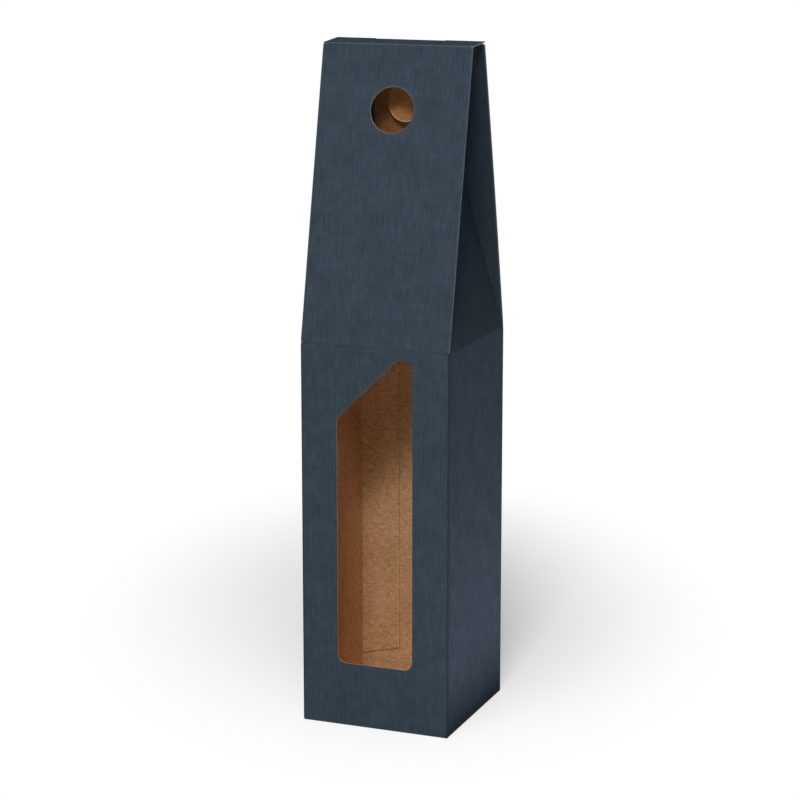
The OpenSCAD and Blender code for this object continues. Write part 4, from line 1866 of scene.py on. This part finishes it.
@dataclass
class Studio:
    """White room, floor with a painted shadow, soft lamps and the camera.

    Attributes:
        camera_place: Where the camera stands, in metres.
        camera_turn: Its turn to the left, in degrees.
        camera_drop: Its tilt down, in degrees.
        lens: Its focal length in millimetres.
        sensor: Width of its sensor in millimetres.
        room_light: Strength of the room's light.
        floor_half: Half the floor's width, in metres.
        floor_places: Number of grid places across the floor.
        lamps: The lamps.
    """

    camera_place: Vector = (0.52147, -1.31170, 0.49808)
    camera_turn: float = 21.768
    camera_drop: float = 12.5
    lens: float = 112.63
    sensor: float = 36.0
    room_light: float = 0.035
    floor_half: float = 8.0
    floor_places: int = 9
    lamps: tuple[Lamp, ...] = (
        Lamp("key", (0.46, -1.83, 1.75), (0, 0, 0.2), 0.5, 22.8),
        Lamp("left_light", (-0.4, -2.25, 1.3), (0, 0, 0.2), 0.6, 5.0),
        Lamp("window_light", (0.80, -1.98, 1.38), (0, 0, 0.2), 0.5, 2.0),
        Lamp("overhead", (0.0, -0.9, 2.3), (0, 0, 0.1), 1.4, 24.5),
        Lamp("back_light", (-0.7, 2.2, 1.1), (0, 0, 0.2), 0.9, 9.0),
        Lamp("floor_card", (0.21, 0.0, 0.004), (0.21, 0.00001, 2.0), 0.26, 0.55, (1.0, 0.91, 0.93)),
    )

    def camera(self) -> None:
        """Makes the camera at the photograph's viewing angle."""
        data = bpy.data.cameras.new("camera")
        data.lens, data.sensor_width, data.sensor_fit = self.lens, self.sensor, "HORIZONTAL"
        data.clip_start, data.clip_end = 0.05, 50.0
        camera = linked("camera", data)
        camera.location = self.camera_place
        camera.rotation_euler = (math.radians(90 - self.camera_drop), 0.0, math.radians(self.camera_turn))
        bpy.context.scene.camera = camera

    def room(self) -> None:
        """A white world, seen at full white and lighting the box at the room's strength."""
        world = bpy.data.worlds.new("room")
        world.use_nodes = True
        bpy.context.scene.world = world
        g = Graph(world.node_tree)
        strength = g.maths("ADD", self.room_light, g.maths("MULTIPLY", g.seen(), 1.0 - self.room_light))
        light = g.add("ShaderNodeBackground", {"Color": WHITE, "Strength": strength})
        g.add("ShaderNodeOutputWorld", {"Surface": light.outputs[0]})

    def floor(self) -> None:
        """A wide flat grid: every place across with every place away, at height zero."""
        edge = np.linspace(-self.floor_half, self.floor_half, self.floor_places)
        x, y = np.meshgrid(edge, edge)
        points = np.stack([x, y, np.zeros_like(x)], 2).reshape(-1, 3)
        index = np.arange(x.size).reshape(x.shape)
        quads = np.stack([index[:-1, :-1], index[:-1, 1:], index[1:, 1:], index[1:, :-1]], 2).reshape(-1, 4)
        # The floor's paint holds a painted shadow round the box.
        paint = FloorWithPaintedShadow(turn=self.camera_turn).build()
        new_piece("floor", points, quads, np.zeros(len(quads)), points[:, :2], [paint])

    def build(self) -> None:
        """Makes the studio."""
        self.camera()
        self.room()
        self.floor()
        for lamp in self.lamps:
            lamp.build()
        bpy.context.scene.view_settings.view_transform = "Standard"


def main() -> None:
    """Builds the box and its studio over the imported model."""
    logging.basicConfig(level=logging.INFO, format="%(name)s: %(message)s")
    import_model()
    sizes, finishes = BoxSizes(), Finishes()
    Studio().build()
    for part in (Sleeve, Base, Roof, Ridge):
        part(sizes, finishes).build()
        LOG.info("%s is built", part.__name__)


if __name__ == "__main__":
    main()
